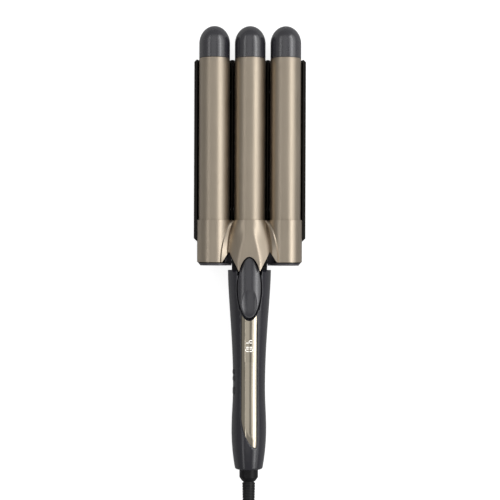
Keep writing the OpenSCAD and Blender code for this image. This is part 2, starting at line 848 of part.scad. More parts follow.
// Insulating frame that carries the barrels' lower ends
module barrel_frame() color("#8a7f6a") {
    y0 = y_bridge + bridge_wall;
    difference() {
        union() {
            each_barrel() rod_y(barrel_r - 1, 0, 0, y0, y0 + frame_t);
            each_barrel() rod_y(barrel_r - barrel_wall - slide_fit, 0, 0, y0, y_barrel + sleeve_len);
            block(-pitch, pitch, y0, y0 + frame_t, barrel_z - 2, barrel_z + 3.5);
        }
        block(-bridge_half_w - slide_fit, bridge_half_w + slide_fit, y0 - 1, y0 + frame_t,
            0, bridge_top_z + 10);
        each_barrel() rod_y(barrel_r - barrel_wall - 2.2, 0, 0, y0 + frame_t, y_barrel + sleeve_len + 1);
        for (i = [-1:1], x = [-wire_x, wire_x])
            rod_y(wire_r + run_fit, i * pitch + x, barrel_z, y0 - 1, y_barrel);
        frame_screws_at(1, y0 - 1, y0 + frame_t + 1);
        block(-cut_reach, cut_reach, y0 - 1, y_plate - free_gap + slide_fit,
            0, base_floor_z + base_wall + slide_fit);
    }
}

module frame_screws_at(r, y0, y1) {
    for (x = [-pitch - 6, -pitch + 6, pitch - 6, pitch + 6]) rod_y(r, x, barrel_z + 3, y0, y1);
}

module frame_screws() color("silver") {
    frame_screws_at(1.9, y_bridge - 1.2, y_bridge);
    frame_screws_at(1, y_bridge, y_bridge + bridge_t + 0.8);
}

// ---- Front cover: two wings round the outer barrels and a flared panel between ----

notch_up = 8.6; // from the lower edge up to a notch's point
mark_up = 22.7; // from the lower edge up to a round mark
tongue_f = 0.354; // shares of the crease's distance from the middle
notch_f = 0.707;
skirt_f = 0.924;
tongue_lift = 0.4; // of the tongue over the handle
tongue_z = handle_z + handle_top_d / 2 + tongue_lift;
lip_w = 1.1;
shoulder = 0.55; // share of a flank's rise that leans gently
shoulder_reach = 0.65; // share of its width
crown_fall = 12; // round crown at the upper edge
crown_round = 0.96;
crown_lean = 10.9; // sides of the flat-backed crown lower down
crown_bend = 0.1;
wing_steps = 16;
cover_rows = 14;
cover_fs = [
    0, 0.1, 0.2, 0.3, tongue_f, 0.42, 0.5, 0.58, 0.64, notch_f,
    0.76, 0.82, 0.87, skirt_f, 0.96, 1
];

function cover_t(y) = min(max((y_cover - y) / cover_len, 0), 1);
function crease_x(y) = mix(crease_top, crease_low, 1 - pow(1 - cover_t(y), 2));
function wing_z(x) = barrel_z + sqrt(pow(cover_r, 2) - pow(pitch - x, 2));
function valley_f(y) = mix(0.82, 0.67, cover_t(y));
function crown_z(y) = mix(barrel_z + cover_r, tongue_z, smooth(cover_t(y)));
function fold(u) = (u + sqrt(pow(u, 2) + pow(crown_bend, 2))) / 2;

// Crown of the panel: round at the upper edge, a level back with leaning sides lower down
function crown_at(y, w) =
    let (
        back = mix(0.1, 0.55, cover_t(y)),
        round_fall = crown_fall * (1 - sqrt(1 - pow(crown_round * w, 2)))
    )
    crown_z(y) - mix(round_fall, crown_lean * (fold(w - back) - fold(-back)), smooth(1.6 * cover_t(y)));

// Rise of the panel's flank from the valley to the lip: steep at first, then a leaning shoulder
function flank(q) =
    1 - shoulder * (1 - q)
    - (1 - shoulder) * smooth((1 - q - shoulder_reach) / (1 - shoulder_reach));

// Height of the panel between the creases; f is 0 in the middle and 1 at a crease
function panel_z(y, f) =
    let (
        v = valley_f(y), c = crease_x(y), lip = 1 - lip_w / c,
        low = crown_at(y, 1), high = wing_z(c) + lip_h * smooth(cover_t(y))
    )
    f <= v ? crown_at(y, f / v)
    : f <= lip ? mix(low, high, flank((f - v) / (lip - v)))
    : mix(high, wing_z(c), (f - lip) / (1 - lip));

// The cover's lower outline: arch over the lever, tongue, notch and skirt
function arch_y(x) =
    y_lever + (lever_a + arch_gap) * sqrt(1 - pow(x / (lever_b + arch_gap), 2));
function low_y(f) =
    let (tongue_y = arch_y(tongue_f * crease_low), notch_y = y_cover_low + notch_up)
    f <= tongue_f ? arch_y(f * crease_low)
    : f <= notch_f ? mix(tongue_y, notch_y, (f - tongue_f) / (notch_f - tongue_f))
    : f <= skirt_f ? mix(notch_y, y_cover_low, (f - notch_f) / (skirt_f - notch_f))
    : y_cover_low;

// One column of the cover's right half: panel columns first, then wing columns
function cover_point(k, row) =
    let (panel = len(cover_fs) - 1, f = cover_fs[min(k, panel)])
    let (y = mix(y_cover, low_y(f), row / cover_rows), c = crease_x(y))
    let (start = acos((c - pitch) / cover_r), a = start * (1 - (k - panel) / wing_steps))
    k <= panel ? [f * c, y, panel_z(y, f)]
    : [pitch + cover_r * cos(a), y, barrel_z + cover_r * sin(a)];

half_cols = len(cover_fs) - 1 + wing_steps;
function outer_point(k, row) =
    k >= 0 ? cover_point(k, row) : let (p = cover_point(-k, row)) [-p[0], p[1], p[2]];
function inner_point(k, row) =
    let (
        p = outer_point(k, row),
        d = outer_point(min(k + 1, half_cols), row) - outer_point(max(k - 1, -half_cols), row),
        n = k == half_cols ? [1, 0] : k == -half_cols ? [-1, 0] : unit([-d[2], d[0]])
    )
    [p[0] - cover_wall * n[0], p[1], p[2] - cover_wall * n[1]];

module front_cover() color("#b3a78f") {
    difference() {
        cover_skin();
        cover_marks(mark_d / 2, barrel_z, barrel_z + cut_reach);
    }
}

module cover_marks(r, z0, z1) {
    for (x = [-pitch, pitch]) translate([x, y_cover_low + mark_up, z0]) cylinder(r = r, h = z1 - z0, $fn = 32);
}

module cover_skin() {
    cols = 2 * half_cols + 1;
    rows = cover_rows + 1;
    size = cols * rows;
    outer = [for (row = [0:cover_rows], k = [-half_cols:half_cols]) outer_point(k, row)];
    inner = [for (row = [0:cover_rows], k = [-half_cols:half_cols]) inner_point(k, row)];
    quads = [for (row = [0:cover_rows - 1], c = [0:cols - 2])
        let (a = row * cols + c)
        c < half_cols ? [a, a + 1, a + cols + 1, a + cols] : [a + 1, a + cols + 1, a + cols, a]];
    rim = concat(
        [for (c = [0:cols - 2]) [c + 1, c]],
        [for (c = [0:cols - 2]) [cover_rows * cols + c, cover_rows * cols + c + 1]],
        [for (row = [0:cover_rows - 1]) [row * cols, (row + 1) * cols]],
        [for (row = [0:cover_rows - 1]) [(row + 2) * cols - 1, (row + 1) * cols - 1]]);
    polyhedron(
        concat(outer, inner),
        concat(
            [for (q = quads) each [[q[0], q[1], q[2]], [q[0], q[2], q[3]]]],
            [for (q = quads) each [[size + q[2], size + q[1], size + q[0]],
                [size + q[3], size + q[2], size + q[0]]]],
            [for (e = rim) each [[e[0], e[1], size + e[1]], [e[0], size + e[1], size + e[0]]]]));
}

// Round plugs in the cover, each resting on its barrel
module cover_plugs() color("#a3977f")
    cover_marks(mark_d / 2 - run_fit, barrel_z + barrel_r, barrel_z + cover_r + 0.05);

// ---- Base shell: closes the cover from behind and carries the hinge ears ----

base_chamfer = 2.2;

module base_section(inset) {
    r = cover_r - inset;
    low = base_floor_z + inset;
    reach = acos((barrel_z - low) / r);
    difference() {
        polygon(concat(
            arc(pitch, barrel_z, r, reach - 90, 0, 12),
            arc(-pitch, barrel_z, r, 180, 270 - reach, 12)));
        translate([-cut_reach, barrel_z]) square([2 * cut_reach, cut_reach]);
    }
}

// End wall below the cover: two lobes with the neck between
module end_section() {
    difference() {
        intersection() {
            union() {
                for (s = [-1, 1]) {
                    translate([s * pitch, barrel_z]) circle(r = cover_in_r - slide_fit, $fn = fine);
                    translate([s * (pitch + slot_half_w) / 2, barrel_z - 2])
                        square([pitch - slot_half_w, 16], center = true);
                }
            }
            translate([-cut_reach, base_floor_z]) square([2 * cut_reach, cut_reach]);
        }
        translate([-slot_half_w, 0]) square([2 * slot_half_w, 80]);
    }
}

module base_shell() color("#4a494f") {
    y1 = y_plate - free_gap;
    difference() {
        union() {
            difference() {
                along_y(y_base, y1) base_section(0);
                along_y(y_base + base_wall, y1 + 1) difference() {
                    base_section(base_wall);
                    translate([-slot_half_w - base_wall, 0]) square([2 * (slot_half_w + base_wall), 60]);
                }
                along_y(y_bridge + bridge_wall, y1 + 1) base_section(base_wall);
            }
            along_y(y_base, y_base + base_wall) end_section();
            both_sides() block(slot_half_w, slot_half_w + ear_w, y_base, y_hinge + 6,
                base_floor_z, ear_top_z);
            intersection() {
                block(-pitch - 10, pitch + 10, y_bridge, y_bridge + bridge_wall,
                    base_floor_z, barrel_z + 6);
                along_y(y_bridge, y_bridge + bridge_wall) union() {
                    base_section(1);
                    for (i = [-1:1]) translate([i * pitch, barrel_z])
                        circle(r = barrel_r - 1, $fn = fine);
                    translate([-pitch, barrel_z - 3.5]) square([2 * pitch, 7]);
                }
            }
            block(-bridge_half_w, bridge_half_w, y_bridge, y_bridge + bridge_t,
                base_floor_z, bridge_top_z);
        }
        block(-slot_half_w, slot_half_w, y_base - 1, y_bridge, 0, 60);
        both_sides() rod_x(bush_r, y_hinge, handle_z, 0, slot_half_w + ear_w + 1);
        for (i = [-1:1], x = [-wire_x, wire_x])
            rod_y(wire_r + run_fit, i * pitch + x, barrel_z, y_bridge - 1, y_plate);
        frame_screws_at(1 + slide_fit, y_bridge - 1, y_bridge + bridge_wall + 0.1);
        lever_screws_at(0.9, bridge_top_z - 8);
        translate([0, y_hinge, handle_z]) rotate([-jaw_open, 0, 0])
            block(-cut_reach, cut_reach, y_plate - y_hinge - 0.2, cut_reach, -cut_reach,
                barrel_z - handle_z);
        both_sides() translate([pitch + cover_r, y_base, 0]) rotate([0, 0, 45])
            translate([-base_chamfer, -base_chamfer, 0])
                cube([2 * base_chamfer, 2 * base_chamfer, cut_reach]);
    }
}

// ---- Thumb lever ----

lever_steps = 16;
arm_half_w = 6;

// Side outline of the pad in Y and Z, with the thumb's dimple
lever_us = [for (i = [0:lever_steps]) i / lever_steps];
lever_upper = [for (u = lever_us) let (y = y_lever_front - lever_len * u)
    [y, lever_top_z(y) - (u < 0.45 ? 0 : dimple_depth * sin(180 * (u - 0.45) / 0.55))]];
lever_lower = [for (u = lever_us) let (y = y_lever_front - lever_len * u) [y, lever_under_z(y)]];

module lever_screws_at(r, z0) {
    for (x = [-3.6, 3.6]) translate([x, y_bridge + bridge_t / 2, z0])
        cylinder(r = r, h = bridge_top_z + arm_t + 1 - z0, $fn = fine);
}

module thumb_lever() color("#605f65") {
    intersection() {
        translate([-lever_w, 0, 0]) rotate([90, 0, 90]) linear_extrude(2 * lever_w)
            polygon(concat(lever_upper, reversed(lever_lower)));
        translate([0, y_lever, 0]) linear_extrude(80) polygon(oval(lever_a, lever_b, 64));
    }
    difference() {
        block(-arm_half_w, arm_half_w, y_lever_front - 2.2, y_bridge + bridge_t,
            bridge_top_z, bridge_top_z + arm_t);
        lever_screws_at(0.9 + slide_fit, 0);
    }
}

module lever_screws() color("silver") {
    lever_screws_at(0.9, bridge_top_z - 7);
}

// ---- Cord swivel ----

module swivel_collar() color("#1a1a1c") {
    neck = relief_d / 2;
    turned(y_end - slide_fit, handle_z) polygon([
        [0, collar_len - slide_fit], [neck, collar_len - slide_fit], [collar_r, collar_len - 3.4],
        [collar_r, 0.4], [collar_r - 0.4, 0], [shaft_r, 0], [shaft_r, -cap_wall - 2 * slide_fit],
        [flange_r, -cap_wall - 2 * slide_fit], [flange_r, -cap_wall - flange_t],
        [shaft_r, -cap_wall - flange_t], [shaft_r, -cap_wall - 4.4],
        [slip_core_r, -cap_wall - 4.4], [slip_core_r, -swivel_len], [0, -swivel_len]]);
}

module slip_rings() color("#c9a04a") {
    for (s = slip_steps) difference() {
        rod_y(shaft_r, 0, handle_z, y_swivel + s - slip_len / 2, y_swivel + s + slip_len / 2);
        rod_y(slip_core_r, 0, handle_z, y_end, y_end + 30);
    }
}

module swivel_housing() color("#37363b") {
    difference() {
        rod_y(swivel_r, 0, handle_z, y_swivel, y_swivel + swivel_len);
        rod_y(flange_r + slide_fit, 0, handle_z, y_swivel - 1, y_swivel + flange_t + slide_fit);
        rod_y(shaft_r + run_fit, 0, handle_z, y_swivel, y_swivel + 5);
        rod_y(shaft_r + 2, 0, handle_z, y_swivel + 4.2, y_swivel + swivel_len - 1.2);
        rod_y(2.6, 0, handle_z, y_swivel, y_swivel + swivel_len + 1);
    }
}

// Spring blades that bear on the slip rings
module swivel_contacts() color("#c9a04a") {
    for (s = slip_steps) block(-2, 2, y_swivel + s - 0.9, y_swivel + s + 0.9,
        handle_z + shaft_r + 0.1, handle_z + shaft_r + 0.6);
}

module supply_wires() color("#c43d2f") {
    for (x = [-1.2, 1.2]) rod_y(wire_r, x, handle_z, y_swivel + swivel_len + 0.2, y_board_low - free_gap);
}

rib_pitch = 4.4;
rib_w = 3;
rib_h = 0.9;
module strain_relief() color("#161618") {
    core0 = relief_d / 2 - rib_h;
    core1 = relief_end_r - 0.3;
    ribs = floor((relief_len - 6) / rib_pitch);
    turned(y_collar, handle_z) polygon(concat(
        [[0, 0], [relief_d / 2, 0], [relief_d / 2, 3]],
        [for (i = [0:ribs - 1]) let (s = 4.4 + i * rib_pitch, r = mix(core0, core1, s / relief_len))
            each [[r, s - 1.2], [r, s], [r + rib_h, s + 0.3], [r + rib_h * 0.9, s + rib_w]]],
        [[relief_end_r, relief_len - 1.4], [relief_end_r, relief_len - 0.4],
            [relief_end_r - 0.4, relief_len], [0, relief_len]]));
}

// ---- Cord ----

module cord_lead() color("#161618") tube(lead_route, cord_r, 12);
module cord_tail() color("#161618") tube(tail_route, cord_r, 12);

module cord_coil() color("#161618") {
    translate([coil_x, coil_y, 0]) rotate_extrude($fn = fine)
        translate([coil_in_r - cord_r, 0]) square([coil_out_r - coil_in_r + cord_d, 2 * cord_d + 0.1]);
}

module cable_tie() color("#202022") {
    y0 = coil_y + coil_in_r - cord_r - 0.1;
    y1 = coil_y + coil_out_r + cord_r + 0.1;
    difference() {
        block(coil_x - 2, coil_x + 2, y0 - 1, y1 + 1, 0, 2 * cord_d + 1.2);
        block(coil_x - 3, coil_x + 3, y0, y1, -1, 2 * cord_d + 0.2);
    }
}

module plug_body() color("#1a1a1c") {
    translate([plug_x, plug_y, plug_h / 2]) {
        block(-plug_w / 2, plug_w / 2, 10, plug_len, -plug_h / 2, plug_h / 2);
        rotate([-90, 0, 0]) cylinder(r1 = cord_r + 0.8, r2 = plug_h / 2, h = 10, $fn = fine);
    }
}

module plug_blades() color("silver") {
    for (s = [-1, 1]) translate([plug_x + s * blade_gap / 2, plug_y, plug_h / 2])
        block(-blade_t / 2, blade_t / 2, plug_len, plug_len + blade_len, -blade_w / 2, blade_w / 2);
}

handle_front_shell();
handle_rear_shell();
handle_end_cap();
handle_screws();
trim_strip();
display_window();
display_module();
control_board();
board_parts();
button_board();
button_switches();
hinge_block();
hinge_pin();
return_spring();
clamp_rear_shell();
clamp_plate();
clamp_screws();
swivel_housing();
swivel_contacts();
supply_wires();
barrel_left();
barrel_middle();
barrel_right();
tip_left();
tip_middle();
tip_right();
heater_bars();
heat_spreaders();
thermistor();
thermal_fuse();
barrel_frame();
frame_screws();
front_cover();
cover_plugs();
base_shell();
hinge_bushes();
thumb_lever();
lever_screws();
heater_wires();
power_button();
plus_button();
minus_button();
swivel_collar();
slip_rings();
strain_relief();
cord_lead();
cord_coil();
cord_tail();
cable_tie();
plug_body();
plug_blades();
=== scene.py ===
# Hair waver with parallel barrels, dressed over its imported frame. Lengths named here are in
# millimetres in the part's own frame, and MM turns them into Blender's metres.
import json
import math

import bpy
import bmesh
from mathutils import Matrix, Vector

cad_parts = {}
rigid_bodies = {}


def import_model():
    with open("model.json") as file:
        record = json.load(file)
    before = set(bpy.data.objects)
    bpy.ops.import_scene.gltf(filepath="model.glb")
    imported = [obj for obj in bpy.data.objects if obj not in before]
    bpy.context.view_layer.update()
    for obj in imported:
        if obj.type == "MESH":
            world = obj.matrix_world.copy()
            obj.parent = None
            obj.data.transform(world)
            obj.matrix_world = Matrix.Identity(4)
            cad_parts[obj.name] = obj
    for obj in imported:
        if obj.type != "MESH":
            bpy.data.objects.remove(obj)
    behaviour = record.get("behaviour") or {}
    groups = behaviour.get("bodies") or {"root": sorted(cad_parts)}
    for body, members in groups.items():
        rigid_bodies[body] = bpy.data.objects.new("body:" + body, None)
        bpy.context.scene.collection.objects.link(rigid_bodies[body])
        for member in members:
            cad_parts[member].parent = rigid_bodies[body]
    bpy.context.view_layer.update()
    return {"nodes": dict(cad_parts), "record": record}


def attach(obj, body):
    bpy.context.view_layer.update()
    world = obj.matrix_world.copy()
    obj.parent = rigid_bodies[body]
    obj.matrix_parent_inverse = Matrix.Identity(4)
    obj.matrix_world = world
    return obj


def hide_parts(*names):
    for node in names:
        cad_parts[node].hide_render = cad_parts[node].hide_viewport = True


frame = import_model()
MM = 0.001
BODY_OF = {node: body for body, nodes in frame["record"]["behaviour"]["bodies"].items() for node in nodes}
SLOT_OF = {s["node"]: s["material_slot"] for s in frame["record"]["subparts"]}

# ---- Sizes shared with the frame, in millimetres ----

PITCH = 29.0
BARREL_R = 12.5
BARREL_WALL = 1.2
BARREL_Z = 20.5
COVER_R = 13.7
COVER_WALL = 1.1
HANDLE_Z = 18.0
HANDLE_LEN = 162.0
HANDLE_D = (35.2, 26.2, 28.4, 22.4)
WAIST_UP, SWELL_UP = 66.0, 32.0
Y_RELIEF, Y_COLLAR, Y_END, Y_CAP, Y_HANDLE = -210.35, -160.35, -150.15, -142.45, 11.85
Y_COVER_LOW, Y_COVER, Y_SEAM = 18.25, 52.45, 183.85
Y_BARREL = 43.65
LEVER_LEN, LEVER_W, LEVER_T = 48.4, 18.6, 3.4
LEVER_RISE, LEVER_SAG = 9.4, 1.4
Y_LEVER_FRONT = 22.25
Y_LEVER = Y_LEVER_FRONT - LEVER_LEN / 2
Y_WELL, WELL_A, WELL_B = -2.45, 25.7, 10.0
Y_STRIP, STRIP_LEN, STRIP_W = -28.45, 103.0, 12.0
Y_WINDOW, WINDOW_LEN, WINDOW_W = -53.05, 18.0, 7.4
Y_PLUS, Y_MINUS, Y_POWER, KEY_PROUD = -70.75, -76.15, -86.15, 0.6
CORD_D = 6.5
COIL = (-48.0, -293.0)
COIL_OUT_R, COIL_TURNS = 48.0, 4
PLUG_AT, PLUG_LEN = (-93.0, -247.0, 7.0), 36.0

# ---- Camera ----

lens_view = bpy.data.cameras.new("studio_camera")
lens_view.sensor_fit = "HORIZONTAL"
lens_view.angle = 2 * math.atan(0.2036 / 1.0495)
camera = bpy.data.objects.new("studio_camera", lens_view)
camera.location = (0.0004, 0.02815, 1.07)
camera.rotation_euler = (0, 0, math.radians(0.21))
bpy.context.scene.collection.objects.link(camera)
bpy.context.scene.camera = camera


# ---- Small makers ----

def smooth(u):
    u = min(max(u, 0.0), 1.0)
    return (1 - math.cos(math.pi * u)) / 2


def mix(a, b, u):
    return a + (b - a) * u


BOX_FACES = [(0, 1, 3, 2), (4, 6, 7, 5), (0, 4, 5, 1), (2, 3, 7, 6), (0, 2, 6, 4), (1, 5, 7, 3)]


def sheet_faces(rows, cols):
    """Faces between rows of corners."""
    return [(r * cols + c, (r + 1) * cols + c, (r + 1) * cols + c + 1, r * cols + c + 1)
            for r in range(rows - 1) for c in range(cols - 1)]


def placed(name, data):
    obj = bpy.data.objects.new(name, data)
    bpy.context.scene.collection.objects.link(obj)
    return obj


def mesh_object(name, verts, faces, scale=MM):
    """A mesh object at the origin from corners in millimetres, faces turned outwards."""
    data = bpy.data.meshes.new(name)
    data.from_pydata([tuple(c * scale for c in v) for v in verts], [], faces)
    obj = placed(name, data)
    tidy_mesh(obj)
    return obj


def tidy_mesh(obj, merge=1e-6):
    bm = bmesh.new()
    bm.from_mesh(obj.data)
    bmesh.ops.remove_doubles(bm, verts=bm.verts, dist=merge)
    bmesh.ops.recalc_face_normals(bm, faces=bm.faces)
    bm.to_mesh(obj.data)
    bm.free()


def shade(obj, degrees=35):
    """Smooth shading with hard edges past an angle."""
    obj.data.shade_smooth()
    obj.data.set_sharp_from_angle(angle=math.radians(degrees))


def bevel(obj, width, segments=3, degrees=30):
    m = obj.modifiers.new("rounded_edges", "BEVEL")
    m.width = width * MM
    m.segments = segments
    m.limit_method = "ANGLE"
    m.angle_limit = math.radians(degrees)
    m.harden_normals = True


def fit(obj, finish, *nodes, slot=None, body=None):
    """Gives a piece its finish and the body that it rides on, and hides the CAD nodes that it stands for."""
    obj.data.materials.clear()
    obj.data.materials.append(finish)
    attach(obj, body or BODY_OF[nodes[0]])
    if nodes:
        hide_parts(*nodes)
    return obj


def lathe(name, profile, origin, axis="Y", steps=96):
    """A profile of (radius, distance) turned about a line through origin along an axis."""
    verts, faces, n = [], [], len(profile)
    for i in range(steps):
        a = 2 * math.pi * i / steps
        for r, d in profile:
            u, v = r * math.cos(a), r * math.sin(a)
            p = {"Y": (u, d, v), "Z": (u, v, d), "X": (d, u, v)}[axis]
            verts.append(tuple(o + c for o, c in zip(origin, p)))
    for i in range(steps):
        j = (i + 1) % steps
        for k in range(n - 1):
            faces.append((i * n + k, i * n + k + 1, j * n + k + 1, j * n + k))
    return mesh_object(name, verts, faces)


def joined(name, objs):
    """Several mesh objects made one."""
    bm = bmesh.new()
    for o in objs:
        bm.from_mesh(o.data)
    data = bpy.data.meshes.new(name)
    bm.to_mesh(data)
    bm.free()
    for o in objs:
        bpy.data.objects.remove(o)
    return placed(name, data)


def rounded(points, radius, steps=5):
    """An open line of 2-D points with its inner corners rounded."""
    out = [points[0]]
    for a, b, c in zip(points, points[1:], points[2:]):
        a, b, c = Vector(a), Vector(b), Vector(c)
        r = min(radius, (a - b).length * 0.45, (c - b).length * 0.45)
        p, q = b + (a - b).normalized() * r, b + (c - b).normalized() * r
        for i in range(steps + 1):
            t = i / steps
            out.append(tuple((1 - t) ** 2 * p + 2 * t * (1 - t) * b + t * t * q))
    return out + [points[-1]]


# ---- Cord: out of the relief, down to the table, turns in two layers, and the plug ----

LEAD = [
    (0, -210.4, 18), (0, -218, 18), (0, -226, 17.2), (0, -234, 14.9), (0, -243, 11.2),
    (0, -252, 7.3), (0, -260, 4.8), (0, -268, 3.5), (0, -277, 3.3), (0, -285, 3.3),
]
TAIL = [
    (-92.75, -282, 9.8), (-92.75, -270, 9.8), (-92.8, -265, 9.3), (-92.9, -260, 8.2), (-93, -254, 7),
    (-93, -247, 7),
]


def coil_points():
    points, steps = [], 24
    for i in range((2 * COIL_TURNS - 1) * steps + steps // 2 + 1):
        turn = i / steps
        inner = COIL_OUT_R - CORD_D * COIL_TURNS
        r = COIL_OUT_R - CORD_D * turn if turn <= COIL_TURNS else inner + CORD_D * (turn - COIL_TURNS)
        z = mix(3.3, 9.8, smooth((turn - COIL_TURNS + 0.15) / 0.4))
        a = -2 * math.pi * turn
        points.append((COIL[0] + r * math.cos(a), COIL[1] + r * math.sin(a), z))
    return points


def through(points, step):
    """A smooth line through points, cut into short steps."""
    p = [Vector(q) for q in points]
    p = [2 * p[0] - p[1]] + p + [2 * p[-1] - p[-2]]
    out = []
    for i in range(1, len(p) - 2):
        n = max(1, round((p[i + 1] - p[i]).length / step))
        for k in range(n):
            t = k / n
            out.append(0.5 * (2 * p[i] + (p[i + 1] - p[i - 1]) * t
                              + (2 * p[i - 1] - 5 * p[i] + 4 * p[i + 1] - p[i + 2]) * t ** 2
                              + (3 * p[i] - p[i - 1] - 3 * p[i + 1] + p[i + 2]) * t ** 3))
    return out + [p[-2]]


cord_line = through(LEAD + coil_points() + TAIL, 3.2)
cord_curve = bpy.data.curves.new("mains_cord", "CURVE")
cord_curve.dimensions = "3D"
spline = cord_curve.splines.new("POLY")
spline.points.add(len(cord_line) - 1)
for point, at in zip(spline.points, cord_line):
    point.co = (at.x * MM, at.y * MM, at.z * MM, 1)
cord_curve.bevel_depth = CORD_D / 2 * MM
cord_curve.bevel_resolution = 3
cord_curve.use_fill_caps = True
cord = placed("mains_cord", cord_curve)

# ---- Effects shared by the finishes, as shader node groups ----

def socket(tree, name, kind="NodeSocketFloat", way="INPUT", value=None):
    s = tree.interface.new_socket(name, in_out=way, socket_type=kind)
    if value is not None:
        s.default_value = value
    return s


class Wires:
    """Adds nodes to a tree and links them in one call each."""

    def __init__(self, tree):
        self.tree = tree

    def add(self, kind, values=None, **settings):
        node = self.tree.nodes.new(kind)
        for key, value in settings.items():
            setattr(node, key, value)
        for key, value in (values or {}).items():
            if isinstance(value, bpy.types.NodeSocket):
                self.tree.links.new(value, node.inputs[key])
            else:
                node.inputs[key].default_value = value
        return node

    def math(self, operation, a, b=0.5, clamp=False):
        return self.add("ShaderNodeMath", {0: a, 1: b}, operation=operation, use_clamp=clamp).outputs[0]

    def times(self, a, b):
        return self.math("MULTIPLY", a, b)

    def xyz(self, x, y, z):
        return self.add("ShaderNodeCombineXYZ", {0: x, 1: y, 2: z}).outputs[0]

    def span(self, value, low, high, to_low, to_high):
        return self.add("ShaderNodeMapRange", {
            "Value": value, "From Min": low, "From Max": high,
            "To Min": to_low, "To Max": to_high}).outputs[0]

    def blend(self, factor, a, b, mode="MIX"):
        node = self.add("ShaderNodeMix", {0: factor, 6: a, 7: b}, data_type="RGBA", blend_type=mode)
        return node.outputs[2]


def moulded_grain():
    """Fine spark-eroded texture of moulded plastic: a height and a mask of its peaks."""
    tree = bpy.data.node_groups.new("moulded_grain", "ShaderNodeTree")
    socket(tree, "Vector", "NodeSocketVector")
    socket(tree, "Scale", value=2500.0)
    socket(tree, "Height", way="OUTPUT")
    socket(tree, "Peaks", way="OUTPUT")
    w = Wires(tree)
    source = w.add("NodeGroupInput")
    cells = w.add("ShaderNodeTexVoronoi", {
        "Vector": source.outputs["Vector"], "Scale": source.outputs["Scale"]}, feature="SMOOTH_F1")
    noise = w.add("ShaderNodeTexNoise", {"Vector": source.outputs["Vector"], "Scale": source.outputs["Scale"],
                                         "Detail": 3.0, "Roughness": 0.6})
    height = w.math("ADD", w.times(cells.outputs["Distance"], 0.6),
                    w.times(noise.outputs[0], 0.5))
    out = w.add("NodeGroupOutput")
    tree.links.new(height, out.inputs["Height"])
    tree.links.new(w.span(height, 0.35, 0.75, 0.0, 1.0), out.inputs["Peaks"])
    return tree


def handled_gloss():
    """Uneven gloss of a surface that is handled: broad smudges and small specks between two roughnesses."""
    tree = bpy.data.node_groups.new("handled_gloss", "ShaderNodeTree")
    socket(tree, "Vector", "NodeSocketVector")
    socket(tree, "Smooth", value=0.25)
    socket(tree, "Dull", value=0.4)
    socket(tree, "Roughness", way="OUTPUT")
    socket(tree, "Smudge", way="OUTPUT")
    w = Wires(tree)
    source = w.add("NodeGroupInput")
    broad = w.add("ShaderNodeTexNoise", {"Vector": source.outputs["Vector"], "Scale": 38.0, "Detail": 4.0,
                                         "Roughness": 0.55, "Distortion": 0.6})
    specks = w.add("ShaderNodeTexNoise", {"Vector": source.outputs["Vector"], "Scale": 1400.0, "Detail": 2.0})
    smudge = w.span(broad.outputs[0], 0.38, 0.66, 0.0, 1.0)
    level = w.math("ADD", w.times(smudge, 0.75),
                   w.span(specks.outputs[0], 0.62, 0.8, 0.0, 0.25), clamp=True)
    rough = w.add("ShaderNodeMapRange", {"Value": level, "To Min": source.outputs["Smooth"],
                                         "To Max": source.outputs["Dull"]}).outputs[0]
    out = w.add("NodeGroupOutput")
    tree.links.new(rough, out.inputs["Roughness"])
    tree.links.new(smudge, out.inputs["Smudge"])
    return tree


def drawn_streaks():
    """Long fine lines that a drawn or polished metal keeps, stretched by the vector that comes in."""
    tree = bpy.data.node_groups.new("drawn_streaks", "ShaderNodeTree")
    socket(tree, "Vector", "NodeSocketVector")
    socket(tree, "Stretch", "NodeSocketVector", value=(1.0, 0.02, 1.0))
    socket(tree, "Scale", value=1800.0)
    socket(tree, "Lines", way="OUTPUT")
    w = Wires(tree)
    source = w.add("NodeGroupInput")
    scaled = w.add("ShaderNodeVectorMath", {0: source.outputs["Vector"], 1: source.outputs["Stretch"]},
                   operation="MULTIPLY")
    lines = w.add("ShaderNodeTexNoise", {"Vector": scaled.outputs[0], "Scale": source.outputs["Scale"],
                                         "Detail": 3.0, "Roughness": 0.65})
    out = w.add("NodeGroupOutput")
    tree.links.new(lines.outputs[0], out.inputs["Lines"])
    return tree


GRAIN, GLOSS, STREAKS = moulded_grain(), handled_gloss(), drawn_streaks()


# ---- Finishes ----

